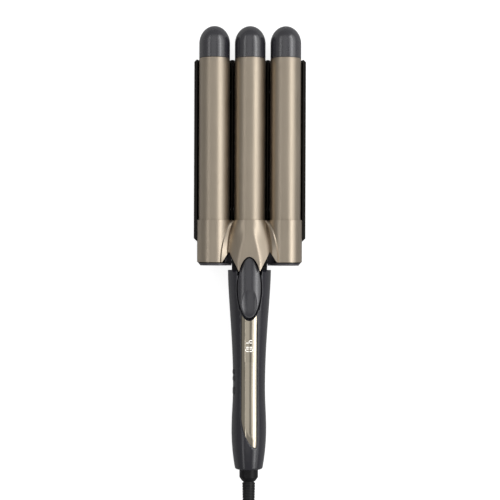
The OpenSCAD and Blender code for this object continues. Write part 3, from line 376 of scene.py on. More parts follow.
def finish(name, colour, drift, gloss, grain=None, streaks=None, metallic=0.0, **fixed):
    """A finish from a base colour and a second colour that it drifts to, a pair of roughnesses,
    and an optional (scale, depth in mm) of moulded grain or (stretch, scale, depth in mm) of streaks."""
    made = bpy.data.materials.new(name)
    made.use_nodes = True
    made.diffuse_color = (*colour, 1)
    tree = made.node_tree
    w = Wires(tree)
    shader = tree.nodes["Principled BSDF"]
    shader.inputs["Metallic"].default_value = metallic
    for key, value in fixed.items():
        shader.inputs[key.replace("_", " ")].default_value = value
    where = w.add("ShaderNodeTexCoord").outputs["Object"]
    uneven = w.add("ShaderNodeGroup", {"Vector": where, "Smooth": gloss[0], "Dull": gloss[1]},
                   node_tree=GLOSS)
    tree.links.new(uneven.outputs["Roughness"], shader.inputs["Roughness"])
    factor = uneven.outputs["Smudge"]
    heights = []
    if grain:
        texture = w.add("ShaderNodeGroup", {"Vector": where, "Scale": grain[0]}, node_tree=GRAIN)
        heights.append((texture.outputs["Height"], grain[1]))
        factor = w.math("ADD", w.times(factor, 0.5), w.times(texture.outputs["Peaks"], 0.5))
    if streaks:
        texture = w.add("ShaderNodeGroup", {"Vector": where, "Stretch": streaks[0], "Scale": streaks[1]},
                        node_tree=STREAKS)
        heights.append((texture.outputs["Lines"], streaks[2]))
        factor = w.math("ADD", w.times(factor, 0.4), w.times(texture.outputs["Lines"], 0.6))
    tree.links.new(w.blend(factor, (*colour, 1), (*drift, 1)), shader.inputs["Base Color"])
    normal = None
    for height, depth in heights:
        values = {"Height": height, "Strength": 1.0, "Distance": depth * MM}
        if normal:
            values["Normal"] = normal
        normal = w.add("ShaderNodeBump", values).outputs[0]
    if normal:
        tree.links.new(normal, shader.inputs["Normal"])
    return made


CHAMPAGNE = (0.39, 0.333, 0.262), (0.435, 0.372, 0.296)
FINISH = {
    "barrel_coat": finish("satin_champagne_coat", *CHAMPAGNE, (0.4, 0.46),
                          streaks=((1.0, 0.02, 1.0), 1500.0, 0.0006), metallic=1.0),
    "tip_plastic": finish("tip_plastic", (0.02, 0.0195, 0.026), (0.026, 0.025, 0.033), (0.24, 0.31),
                          grain=(2600.0, 0.002), IOR=1.9),
    "cover_metal": finish("polished_champagne_cover", *CHAMPAGNE, (0.34, 0.4),
                          streaks=((1.0, 0.04, 1.0), 1200.0, 0.0005), metallic=1.0),
    "handle_plastic": finish("handle_plastic", (0.017, 0.0165, 0.0225), (0.021, 0.0205, 0.028), (0.2, 0.27),
                             grain=(2400.0, 0.002), IOR=1.58),
    "lever_plastic": finish("lever_plastic", (0.016, 0.0155, 0.0215), (0.02, 0.0195, 0.027), (0.22, 0.28),
                            grain=(3000.0, 0.0015), IOR=1.8),
    "strip_metal": finish("mirror_champagne_strip", (0.47, 0.42, 0.33), (0.52, 0.465, 0.375), (0.12, 0.18),
                          streaks=((1.0, 0.03, 1.0), 1600.0, 0.0003), metallic=1.0),
    "window": finish("mirrored_window", (0.44, 0.395, 0.315), (0.49, 0.44, 0.355), (0.08, 0.13),
                     metallic=1.0),
    "display": finish("display_glass", (0.02, 0.022, 0.026), (0.03, 0.032, 0.036), (0.1, 0.2)),
    "board": finish("board_mask", (0.02, 0.11, 0.045), (0.03, 0.14, 0.06), (0.3, 0.45), grain=(1800.0, 0.01)),
    "electronics": finish("component_plastic", (0.02, 0.02, 0.023), (0.035, 0.035, 0.038), (0.45, 0.6),
                          grain=(2600.0, 0.01)),
    "steel": finish("machined_steel", (0.5, 0.5, 0.51), (0.62, 0.62, 0.63), (0.2, 0.34),
                    streaks=((0.05, 1.0, 1.0), 2200.0, 0.002), metallic=1.0),
    "brass": finish("machined_brass", (0.62, 0.44, 0.18), (0.72, 0.53, 0.24), (0.2, 0.34),
                    streaks=((1.0, 0.05, 1.0), 2200.0, 0.002), metallic=1.0),
    "bronze": finish("sintered_bronze", (0.42, 0.26, 0.12), (0.54, 0.35, 0.17), (0.4, 0.55),
                     grain=(2200.0, 0.01), metallic=1.0),
    "black_plastic": finish("black_plastic", (0.004, 0.004, 0.0045), (0.007, 0.007, 0.0075), (0.4, 0.52),
                            grain=(2400.0, 0.004), Specular_IOR_Level=0.22),
    "plate_coat": finish("ceramic_plate_coat", (0.006, 0.004, 0.0025), (0.01, 0.0065, 0.004), (0.2, 0.3),
                         grain=(1500.0, 0.002), Specular_IOR_Level=0.22),
    "heater_ceramic": finish("heater_ceramic", (0.62, 0.58, 0.5), (0.7, 0.66, 0.58), (0.5, 0.7),
                             grain=(1500.0, 0.01)),
    "spreader_metal": finish("extruded_aluminium", (0.58, 0.59, 0.61), (0.68, 0.69, 0.71), (0.3, 0.45),
                             streaks=((1.0, 0.03, 1.0), 1800.0, 0.003), metallic=1.0),
    "sensor": finish("sensor_bead", (0.02, 0.09, 0.15), (0.03, 0.12, 0.2), (0.12, 0.25)),
    "insulator": finish("insulating_compound", (0.3, 0.24, 0.16), (0.36, 0.3, 0.21), (0.5, 0.65),
                        grain=(1600.0, 0.012)),
    "base_plastic": finish("base_plastic", (0.06, 0.056, 0.064), (0.075, 0.07, 0.079), (0.3, 0.42),
                           grain=(2400.0, 0.005)),
    "wire": finish("wire_sleeve", (0.36, 0.03, 0.02), (0.44, 0.045, 0.03), (0.3, 0.45),
                   grain=(2600.0, 0.004)),
    "cord_rubber": finish("cord_rubber", (0.005, 0.005, 0.0055), (0.009, 0.009, 0.0095), (0.4, 0.55),
                          grain=(1500.0, 0.006), Specular_IOR_Level=0.35),
    "key_plastic": finish("key_plastic", (0.028, 0.027, 0.031), (0.036, 0.035, 0.04), (0.3, 0.4),
                          grain=(3000.0, 0.003)),
}


# ---- Pieces carried over from the frame ----

def carried(node, degrees=30):
    """A smooth-shaded copy of a CAD node, its loose triangles merged first."""
    obj = frame["nodes"][node].copy()
    obj.data = frame["nodes"][node].data.copy()
    for key in [k for k in obj.keys() if k.startswith("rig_")]:
        del obj[key]
    obj.parent = None
    obj.name = node + "_finished"
    bpy.context.scene.collection.objects.link(obj)
    bm = bmesh.new()
    bm.from_mesh(obj.data)
    bmesh.ops.remove_doubles(bm, verts=bm.verts, dist=2e-6)
    bmesh.ops.dissolve_degenerate(bm, edges=bm.edges, dist=1e-7)
    bm.to_mesh(obj.data)
    bm.free()
    shade(obj, degrees)
    return fit(obj, FINISH[SLOT_OF[node]], node)


for node in ("handle_front_shell", "handle_rear_shell", "handle_end_cap", "hinge_block", "clamp_rear_shell",
             "clamp_plate", "base_shell", "barrel_frame", "swivel_housing"):
    carried(node)

SHOWN_BY_PIECES = {
    "barrel_left", "barrel_middle", "barrel_right", "tip_left", "tip_middle", "tip_right", "front_cover",
    "cover_plugs", "thumb_lever", "trim_strip", "display_window", "power_button", "plus_button",
    "minus_button", "swivel_collar", "strain_relief", "cord_lead", "cord_coil", "cord_tail", "cable_tie",
    "plug_body", "plug_blades", "handle_screws", "clamp_screws", "return_spring",
}
for node, obj in frame["nodes"].items():
    if node not in SHOWN_BY_PIECES:
        obj.data.materials.clear()
        obj.data.materials.append(FINISH[SLOT_OF[node]])


# ---- Geometry Nodes ----

class Tree(Wires):
    """A Geometry Nodes tree with named sizes."""

    def __init__(self, name, sizes):
        tree = bpy.data.node_groups.new(name, "GeometryNodeTree")
        socket(tree, "Geometry", "NodeSocketGeometry", way="OUTPUT")
        super().__init__(tree)
        self.ids = {}
        for key, value in sizes.items():
            kind = "NodeSocketInt" if isinstance(value, int) else "NodeSocketFloat"
            self.ids[key] = socket(tree, key, kind, value=value).identifier
        self.ids["Finish"] = socket(tree, "Finish", "NodeSocketMaterial").identifier
        source = self.add("NodeGroupInput")
        self.size = {key: source.outputs[key] for key in [*sizes, "Finish"]}

    def moved(self, geometry, **change):
        return self.add("GeometryNodeTransform", {"Geometry": geometry, **change}).outputs[0]

    def swept(self, curve, profile, **more):
        return self.add("GeometryNodeCurveToMesh", {
            "Curve": curve.outputs[0], "Profile Curve": profile.outputs[0], **more}).outputs[0]

    def together(self, *parts):
        join = self.add("GeometryNodeJoinGeometry")
        for part in parts:
            self.tree.links.new(part, join.inputs[0])
        return join.outputs[0]

    def end(self, geometry):
        real = self.add("GeometryNodeRealizeInstances", {0: geometry})
        merged = self.add("GeometryNodeMergeByDistance", {"Geometry": real.outputs[0], "Distance": 1e-6})
        done = self.add("GeometryNodeSetMaterial", {
            "Geometry": merged.outputs[0], "Material": self.size["Finish"]})
        out = self.add("NodeGroupOutput")
        self.tree.links.new(done.outputs[0], out.inputs[0])

    def make(self, name, finish, **sizes):
        """The tree's result for these sizes, as a plain mesh object."""
        holder = placed(name, bpy.data.meshes.new(name))
        m = holder.modifiers.new("shape", "NODES")
        m.node_group = self.tree
        m[self.ids["Finish"]] = finish
        for key, value in sizes.items():
            m[self.ids[key.replace("_", " ")]] = value
        holder.update_tag()
        bpy.context.view_layer.update()
        depsgraph = bpy.context.evaluated_depsgraph_get()
        data = bpy.data.meshes.new_from_object(holder.evaluated_get(depsgraph))
        data.name = name
        holder.modifiers.remove(m)
        holder.data = data
        return holder


def barrel_row_tree():
    """A row of equal tubes: a wall section with rounded rims swept round each barrel's axis."""
    t = Tree("barrel_row", {"Radius": 0.0125, "Wall": 0.0012, "Start": 0.04, "Length": 0.14, "Pitch": 0.029,
                            "Height": 0.0205, "Rim": 0.0004, "Barrels": 3})
    s = t.size
    section = t.add("GeometryNodeCurvePrimitiveQuadrilateral", {"Width": s["Wall"], "Height": s["Length"]})
    rounded_rim = t.add("GeometryNodeFilletCurve", {
        "Curve": section.outputs[0], "Radius": s["Rim"], "Count": 4}, mode="POLY")
    middle = t.math("SUBTRACT", s["Radius"], t.times(s["Wall"], 0.5))
    circle = t.add("GeometryNodeCurvePrimitiveCircle", {"Resolution": 128, "Radius": middle})
    lay = t.moved(t.swept(circle, rounded_rim), Rotation=(-math.pi / 2, 0, 0))
    span = t.times(s["Pitch"], t.times(t.math("SUBTRACT", s["Barrels"], 1.0), 0.5))
    first = t.xyz(t.times(span, -1.0), t.math("ADD", s["Start"], t.times(s["Length"], 0.5)),
                  s["Height"])
    places = t.add("GeometryNodeMeshLine", {
        "Count": s["Barrels"], "Start Location": first, "Offset": t.xyz(s["Pitch"], 0.0, 0.0)})
    row = t.add("GeometryNodeInstanceOnPoints", {"Points": places.outputs[0], "Instance": lay})
    t.end(row.outputs[0])
    return t


barrels = barrel_row_tree().make(
    "barrels", FINISH["barrel_coat"], Radius=BARREL_R * MM, Wall=BARREL_WALL * MM, Start=Y_BARREL * MM,
    Length=(Y_SEAM - Y_BARREL) * MM, Pitch=PITCH * MM, Height=BARREL_Z * MM, Rim=0.35 * MM, Barrels=3)
tidy_mesh(barrels)
shade(barrels, 40)
fit(barrels, FINISH["barrel_coat"], "barrel_left", "barrel_middle", "barrel_right")


def screw_grid_tree():
    """Screws with a cross in the head, on a grid: heads down, at Face above the table."""
    t = Tree("screw_grid", {"Head Radius": 0.0026, "Head Height": 0.0009, "Thread Radius": 0.0014,
                            "Thread Length": 0.014, "Slot Width": 0.0009, "Slot Depth": 0.0007,
                            "Face": 0.0003, "Middle": 0.1, "Across": 0.029, "Along": 0.09,
                            "Columns": 2, "Rows": 2})
    s = t.size
    half = t.times(s["Head Height"], 0.5)
    head = t.add("GeometryNodeMeshCylinder", {
        "Vertices": 48, "Radius": s["Head Radius"], "Depth": s["Head Height"]})
    bar = t.xyz(t.times(s["Head Radius"], 1.3), s["Slot Width"], t.times(s["Slot Depth"], 2.0))
    sunk = t.xyz(0.0, 0.0, t.times(half, -1.0))
    slot = t.add("GeometryNodeMeshCube", {"Size": bar})
    cut = head.outputs[0]
    for turn, size in ((0.5, (1, 1, 1)), (0.5 + math.pi / 2, (1, 1, 0.96))):
        bit = t.moved(slot.outputs[0], Translation=sunk, Rotation=(0, 0, turn), Scale=size)
        cut = t.add("GeometryNodeMeshBoolean", {0: cut, 1: bit}, operation="DIFFERENCE").outputs[0]
    thread = t.add("GeometryNodeMeshCylinder", {
        "Vertices": 24, "Radius": s["Thread Radius"], "Depth": s["Thread Length"]})
    above = t.xyz(0.0, 0.0, t.math("ADD", half, t.times(s["Thread Length"], 0.5)))
    screw = t.together(cut, t.moved(thread.outputs[0], Translation=above))
    grid = t.add("GeometryNodeMeshGrid", {"Size X": s["Across"], "Size Y": s["Along"],
                                          "Vertices X": s["Columns"], "Vertices Y": s["Rows"]})
    spots = t.moved(grid.outputs[0], Translation=t.xyz(0.0, s["Middle"], t.math("ADD", s["Face"], half)))
    row = t.add("GeometryNodeInstanceOnPoints", {"Points": spots, "Instance": screw})
    t.end(row.outputs[0])
    return t


def screws():
    tree, steel = screw_grid_tree(), FINISH["steel"]
    first, last = Y_COVER_LOW + 43.4, Y_SEAM - 26.5
    tray = tree.make("tray_screws", steel, Face=0.3 * MM, Middle=(first + last) / 2 * MM, Across=PITCH * MM,
                     Along=(last - first) * MM)
    foot = tree.make("foot_screws", steel, Face=0.3 * MM, Middle=(Y_HANDLE + 8) * MM, Across=18 * MM,
                     Along=0.0, Rows=1, Thread_Length=7.6 * MM)
    upper, lower = Y_HANDLE - 36, Y_CAP + 22
    grip = tree.make("grip_screws", steel, Head_Height=1.6 * MM, Thread_Radius=1.2 * MM,
                     Thread_Length=15.5 * MM, Face=(HANDLE_Z - 11.1) * MM, Middle=(upper + lower) / 2 * MM,
                     Across=0.0, Columns=1, Along=(upper - lower) * MM)
    for obj, node in ((joined("clamp_screw_set", [tray, foot]), "clamp_screws"), (grip, "handle_screws")):
        shade(obj, 30)
        fit(obj, steel, node)


screws()


# ---- Tips: a domed cap in each barrel's end ----

def tip(i, node):
    side, dome, wall, plug = 12.1, 14.4, 1.8, 8.0
    outer = [(BARREL_R * math.cos(a), side + dome * math.sin(a))
             for a in (math.pi / 2 * k / 28 for k in range(29))]
    inner = [((BARREL_R - wall) * math.cos(a), side + (dome - wall) * math.sin(a))
             for a in (math.pi / 2 * k / 12 for k in range(12, -1, -1))]
    plug_r = BARREL_R - BARREL_WALL - 0.1
    outline = [(plug_r - 1.4, 1.5), (plug_r - 1.4, -plug), (plug_r, -plug), (plug_r, 0.05),
               (BARREL_R - 0.35, 0.05), (BARREL_R - 0.1, 0.15), (BARREL_R - 0.02, 0.4)]
    obj = lathe(node + "_cap", inner + outline + outer, (i * PITCH, Y_SEAM, BARREL_Z))
    shade(obj, 40)
    fit(obj, FINISH["tip_plastic"], node)


for i, node in ((-1, "tip_left"), (0, "tip_middle"), (1, "tip_right")):
    tip(i, node)


# ---- Front cover: wings round the outer barrels and a flared panel between them ----

COVER_LEN = Y_COVER - Y_COVER_LOW
TONGUE_Z = HANDLE_Z + HANDLE_D[0] / 2 + 0.4
CROWN_FALL, CROWN_ROUND, LIP_H = 12.0, 0.96, 1.2
CROWN_LEAN, CROWN_BEND = 10.9, 0.1
SHOULDER, SHOULDER_REACH = 0.55, 0.65
TONGUE_F, NOTCH_F, SKIRT_F, NOTCH_UP = 0.354, 0.707, 0.924, 8.6
CREASE_TOP, CREASE_LOW = 15.6, 23.7


def cover_t(y):
    return min(max((Y_COVER - y) / COVER_LEN, 0.0), 1.0)


def crease_x(y):
    return mix(CREASE_TOP, CREASE_LOW, 1 - (1 - cover_t(y)) ** 2)


def wing_z(x):
    return BARREL_Z + math.sqrt(COVER_R ** 2 - (PITCH - x) ** 2)


def fold(u):
    """Zero below 0 and u above it, with a short round bend between."""
    return (u + math.hypot(u, CROWN_BEND)) / 2


def crown_at(y, w):
    """Height of the panel's middle: round at the upper edge, a level back with leaning sides below."""
    t = cover_t(y)
    back = mix(0.1, 0.55, t)
    top = mix(BARREL_Z + COVER_R, TONGUE_Z, smooth(t))
    round_fall = CROWN_FALL * (1 - math.sqrt(1 - (CROWN_ROUND * w) ** 2))
    return top - mix(round_fall, CROWN_LEAN * (fold(w - back) - fold(-back)), smooth(1.6 * t))


def flank(q):
    """Rise from the valley to the lip: steep at first, then a leaning shoulder."""
    return 1 - SHOULDER * (1 - q) - (1 - SHOULDER) * smooth((1 - q - SHOULDER_REACH) / (1 - SHOULDER_REACH))


def panel_z(y, f):
    valley, crease = mix(0.82, 0.67, cover_t(y)), crease_x(y)
    lip = 1 - 1.1 / crease
    high = wing_z(crease) + LIP_H * smooth(cover_t(y))
    if f <= valley:
        return crown_at(y, f / valley)
    if f <= lip:
        return mix(crown_at(y, 1), high, flank((f - valley) / (lip - valley)))
    return mix(high, wing_z(crease), (f - lip) / (1 - lip))


def arch_y(x):
    return Y_LEVER + (LEVER_LEN / 2 + 0.5) * math.sqrt(max(0, 1 - (x / (LEVER_W / 2 + 0.5)) ** 2))


def low_y(f):
    tongue, notch = arch_y(TONGUE_F * CREASE_LOW), Y_COVER_LOW + NOTCH_UP
    if f <= TONGUE_F:
        return arch_y(f * CREASE_LOW)
    if f <= NOTCH_F:
        return mix(tongue, notch, (f - TONGUE_F) / (NOTCH_F - TONGUE_F))
    if f <= SKIRT_F:
        return mix(notch, Y_COVER_LOW, (f - NOTCH_F) / (SKIRT_F - NOTCH_F))
    return Y_COVER_LOW


def cover_skin():
    """The cover's outer surface as a grid of rows from the upper edge to the lower one."""
    marks = [0, TONGUE_F, NOTCH_F, SKIRT_F, 1]
    shares = [0.0]
    for a, b, n in zip(marks, marks[1:], (18, 20, 18, 8)):
        shares += [mix(a, b, (k + 1) / n) for k in range(n)]
    half = []
    rows, wing = 40, 28
    for row in range(rows + 1):
        line = []
        for f in shares:
            y = mix(Y_COVER, low_y(f), row / rows)
            line.append((f * crease_x(y), y, panel_z(y, f)))
        y = mix(Y_COVER, Y_COVER_LOW, row / rows)
        start = math.acos((crease_x(y) - PITCH) / COVER_R)
        for k in range(1, wing + 1):
            a = start * (1 - k / wing)
            line.append((PITCH + COVER_R * math.cos(a), y, BARREL_Z + COVER_R * math.sin(a)))
        half.append([(-x, y, z) for x, y, z in line[:0:-1]] + line)
    cols = len(half[0])
    verts = [v for line in half for v in line]
    data = bpy.data.meshes.new("front_cover_skin")
    data.from_pydata([tuple(c * MM for c in v) for v in verts], [], sheet_faces(rows + 1, cols))
    obj = placed("front_cover_skin", data)
    wall = obj.modifiers.new("wall", "SOLIDIFY")
    wall.thickness = COVER_WALL * MM
    wall.offset = -1.0
    wall.use_even_offset = False
    shade(obj, 24)
    bevel(obj, 0.32, 3, 50)
    return obj


cover = fit(cover_skin(), FINISH["cover_metal"], "front_cover")


def cover_plugs():
    """Two round plugs, each sunk a little in the cover with a fine groove round it."""
    r, top = 2.45, BARREL_Z + COVER_R
    line = rounded([(0, top - 0.12), (r - 0.75, top - 0.12), (r - 0.55, top - 0.34), (r - 0.3, top - 0.1),
                    (r, top - 0.25), (r, top - 1.1), (0, top - 1.1)], 0.1, 3)
    pair = [lathe("plug", [(radius, z - BARREL_Z) for radius, z in line],
                  (x, Y_COVER_LOW + 22.7, BARREL_Z), axis="Z") for x in (-PITCH, PITCH)]
    obj = joined("cover_plug_pair", pair)
    shade(obj, 40)
    return fit(obj, FINISH["cover_metal"], "cover_plugs")


cover_plugs()


# ---- Thumb lever ----

def lever_top(y):
    u = (Y_LEVER_FRONT - y) / LEVER_LEN
    return BARREL_Z + 12.6 - 0.5 + LEVER_RISE * u - LEVER_SAG * 4 * u * (1 - u) * (1 - u)


def lever_under(y):
    u = (Y_LEVER_FRONT - y) / LEVER_LEN
    return lever_top(y) - LEVER_T * (1 - 0.6 * smooth(max(u - 0.75, 0) / 0.25))


DIMPLE_Y, DIMPLE_A = -14.4, 10.8


def lever_surface(x, y):
    """Top of the pad: a strong crown, cut by a thumb hollow with a crisp rim that runs out downwards."""
    u = (y - DIMPLE_Y) / DIMPLE_A
    crown = 0.6 - 0.034 * x * x
    hollow = -1.9 + 0.033 * x * x + (2.5 if u > 0 else 2.2) * u * u
    return lever_top(y) + crown - fold(crown - hollow)


def thumb_lever():
    a, b, rings, steps = LEVER_LEN / 2, LEVER_W / 2, 44, 160
    edge = 0.5
    verts, faces = [], []
    levels = []
    for k in range(1, rings + 1):
        levels.append((k / rings * (1 - edge / b), 0.0))
    for k in range(1, 9):
        t = math.pi / 2 * k / 8
        levels.append((1 - edge / b + edge / b * math.sin(t), edge * (1 - math.cos(t))))
    verts.append((0, Y_LEVER, lever_surface(0, Y_LEVER)))
    for share, drop in levels:
        for i in range(steps):
            t = 2 * math.pi * i / steps
            x, y = b * share * math.cos(t), Y_LEVER + a * share * math.sin(t)
            verts.append((x, y, lever_surface(x, y) - drop))
    for share in (1.0, 0.96, 0.5):
        for i in range(steps):
            t = 2 * math.pi * i / steps
            x, y = b * share * math.cos(t), Y_LEVER + a * share * math.sin(t)
            verts.append((x, y, lever_under(y) + (0.3 if share == 1.0 else 0)))
    verts.append((0, Y_LEVER, lever_under(Y_LEVER)))
    n = len(levels) + 3
    for i in range(steps):
        j = (i + 1) % steps
        faces.append((0, 1 + i, 1 + j))
        for k in range(n - 1):
            faces.append((1 + k * steps + i, 1 + (k + 1) * steps + i,
                          1 + (k + 1) * steps + j, 1 + k * steps + j))
        faces.append((len(verts) - 1, 1 + (n - 1) * steps + j, 1 + (n - 1) * steps + i))
    pad = mesh_object("lever_pad", verts, faces)
    x0, x1, y0, y1, z0, z1 = -6, 6, Y_LEVER_FRONT - 2.2, 35.15, 28.6, 31.2
    arm = mesh_object("lever_arm", [(x, y, z) for x in (x0, x1) for y in (y0, y1) for z in (z0, z1)],
                      BOX_FACES)
    obj = joined("thumb_lever_pad", [pad, arm])
    shade(obj, 30)
    return fit(obj, FINISH["lever_plastic"], "thumb_lever")


thumb_lever()


def coil_tree():
    """A round wire wound in a helix, standing on Foot."""
    t = Tree("wound_coil", {"Coil Radius": 0.003, "Wire Radius": 0.0004, "Height": 0.008, "Turns": 3.0,
                            "Foot": 0.02, "Middle": 0.0})
    s = t.size
    helix = t.add("GeometryNodeCurveSpiral", {
        "Resolution": 40, "Rotations": s["Turns"], "Start Radius": s["Coil Radius"],
        "End Radius": s["Coil Radius"], "Height": s["Height"]})
    wire = t.add("GeometryNodeCurvePrimitiveCircle", {"Resolution": 12, "Radius": s["Wire Radius"]})
    coil = t.swept(helix, wire, **{"Fill Caps": True})
    t.end(t.moved(coil, Translation=t.xyz(0.0, s["Middle"], s["Foot"])))
    return t


def return_spring():
    """The spring under the lever, in two windings so that it shortens as the lever comes down: a wide
    one that stands in the handle, and a slim one under the lever that sinks into it."""
    tree, middle, wire = coil_tree(), Y_LEVER - 10, 0.4
    top = lever_under(middle + 3.5) - 0.1
    foot = top - 13.0
    for name, radius, low, high, turns, body in (
            ("return_spring_wide", 3.1, foot + wire, foot + 7.4, 3.2, BODY_OF["return_spring"]),
            ("return_spring_slim", 1.9, foot + 7.2, top - wire, 2.6, BODY_OF["thumb_lever"])):
        coil = tree.make(name, FINISH["steel"], Coil_Radius=radius * MM, Wire_Radius=wire * MM,
                         Height=(high - low) * MM, Turns=turns, Foot=low * MM, Middle=middle * MM)
        tidy_mesh(coil)
        shade(coil, 60)
        coil.data.materials.clear()
        coil.data.materials.append(FINISH["steel"])
        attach(coil, body)
        if radius > 3:
            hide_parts("return_spring")


return_spring()


# ---- Handle's trim strip, display and buttons ----

def handle_r(s):
    """Radius of the handle at a distance below its upper face."""
    waist, swell = HANDLE_LEN - WAIST_UP, HANDLE_LEN - SWELL_UP
    if s < waist:
        return mix(HANDLE_D[0], HANDLE_D[1], smooth((max(s, 0) / waist) ** 0.8)) / 2
    if s < swell:
        return mix(HANDLE_D[1], HANDLE_D[2], smooth((s - waist) / (swell - waist))) / 2
    return mix(HANDLE_D[2], HANDLE_D[3], ((s - swell) / SWELL_UP) ** 2) / 2


def on_handle(x, y, proud):
    return (x, y, HANDLE_Z + math.sqrt((handle_r(Y_HANDLE - y) + proud) ** 2 - x * x))


def strip_lower(x):
    u = (x + STRIP_W / 2) / STRIP_W
    return Y_STRIP - STRIP_LEN + 23.5 * (1 - (1 - (1 - u) ** 2) ** 0.7)


def strip_upper(x):
    return Y_WELL - (WELL_A + 0.8) * math.sqrt(1 - (x / (WELL_B + 0.8)) ** 2)


def strip_lift(x, y):
    """How far the strip stands out of the handle: a narrow facet rises from its outline on the left."""
    inward = min(x + STRIP_W / 2, 0.47 * (y - strip_lower(x)))
    return 0.3 + 0.75 * min(1, max(0, inward) / 3.2) - 0.75 * max(0, (x + 2.8) / (STRIP_W / 2 + 2.8))


def draped(name, outline_rows, thickness, rim=0.25):
    """A sheet through rows of surface points, given a wall inwards and rounded rims."""
    verts = [v for row in outline_rows for v in row]
    obj = mesh_object(name, verts, sheet_faces(len(outline_rows), len(outline_rows[0])))
    if sum(p.normal.z for p in obj.data.polygons) < 0:
        obj.data.flip_normals()
    wall = obj.modifiers.new("wall", "SOLIDIFY")
    wall.thickness = thickness * MM
    wall.offset = -1.0
    shade(obj, 40)
    bevel(obj, rim, 3, 50)
    return obj


def trim_strip():
    rows, cols = 120, 45
    w = STRIP_W / 2 - 0.01
    xs = [w * (2 * c / cols - 1) for c in range(cols + 1)]
    grid = []
    for r in range(rows + 1):
        ys = [mix(strip_upper(x), strip_lower(x), r / rows) for x in xs]
        grid.append([on_handle(x, y, strip_lift(x, y)) for x, y in zip(xs, ys)])
    obj = draped("trim_strip_sheet", grid, 1.2)
    return fit(obj, FINISH["strip_metal"], "trim_strip")


def display_window():
    w, h = WINDOW_W / 2, WINDOW_LEN / 2
    xs = [w * (2 * c / 10 - 1) for c in range(11)]
    ys = [Y_WINDOW + h - WINDOW_LEN * r / 24 for r in range(25)]
    grid = [[on_handle(x, y, strip_lift(x, y) + 0.03) for x in xs] for y in ys]
    return fit(draped("display_window_pane", grid, 0.3, 0.08), FINISH["window"], "display_window")


trim_strip()
display_window()

SEGMENTS = {
    "a": ((0, 1), (1, 1)), "b": ((1, 1), (1, 0.5)), "c": ((1, 0.5), (1, 0)), "d": ((0, 0), (1, 0)),
    "e": ((0, 0.5), (0, 0)), "f": ((0, 1), (0, 0.5)), "g": ((0, 0.5), (1, 0.5)),
}
LIT = {"4": "bcfg", "1": "bc", "0": "abcdef"}


def lit_digits():
    """Seven-segment number on the display, read along the handle."""
    tall, wide, thick, step = 5.6, 2.0, 0.66, 3.4
    verts, faces = [], []
    for place, digit in enumerate("410"):
        y_left = Y_WINDOW + 8.3 - place * step
        for key in LIT[digit]:
            (u0, v0), (u1, v1) = SEGMENTS[key]
            a = Vector((-tall / 2 + v0 * tall, y_left - u0 * wide))
            b = Vector((-tall / 2 + v1 * tall, y_left - u1 * wide))
            along = (b - a).normalized()
            side = Vector((-along.y, along.x)) * thick / 2
            a, b = a + along * thick * 0.35, b - along * thick * 0.35
            outline = [a, a + along * thick / 2 + side, b - along * thick / 2 + side, b,
                       b - along * thick / 2 - side, a + along * thick / 2 - side]
            first = len(verts)
            verts += [on_handle(p.x, p.y, strip_lift(p.x, p.y) + rise)
                      for rise in (0.04, 0.1) for p in outline]
            faces += [tuple(first + k for k in range(6)), tuple(first + 6 + k for k in range(5, -1, -1))]
            faces += [(first + k, first + (k + 1) % 6, first + 6 + (k + 1) % 6, first + 6 + k)
                      for k in range(6)]
    obj = mesh_object("display_digits", verts, faces)
    glow = finish("lit_digits", (0.75, 0.73, 0.68), (0.85, 0.83, 0.78), (0.3, 0.4), Emission_Strength=0.7)
    glow.node_tree.nodes["Principled BSDF"].inputs["Emission Color"].default_value = (1.0, 0.97, 0.9, 1)
    return fit(obj, glow, slot="display", body=BODY_OF["display_window"])


lit_digits()

KEY_ANGLE = math.radians(20)
KEY_OUT = Vector((-math.cos(KEY_ANGLE), 0, math.sin(KEY_ANGLE)))
KEY_UP = Vector((math.sin(KEY_ANGLE), 0, math.cos(KEY_ANGLE)))


def key_point(y, u, v, h):
    """A point of a button: u up the flank, v along the handle, h out from the handle's axis."""
    p = Vector((0, y, HANDLE_Z)) + KEY_UP * u + Vector((0, v, 0)) + KEY_OUT * h
    return tuple(p)


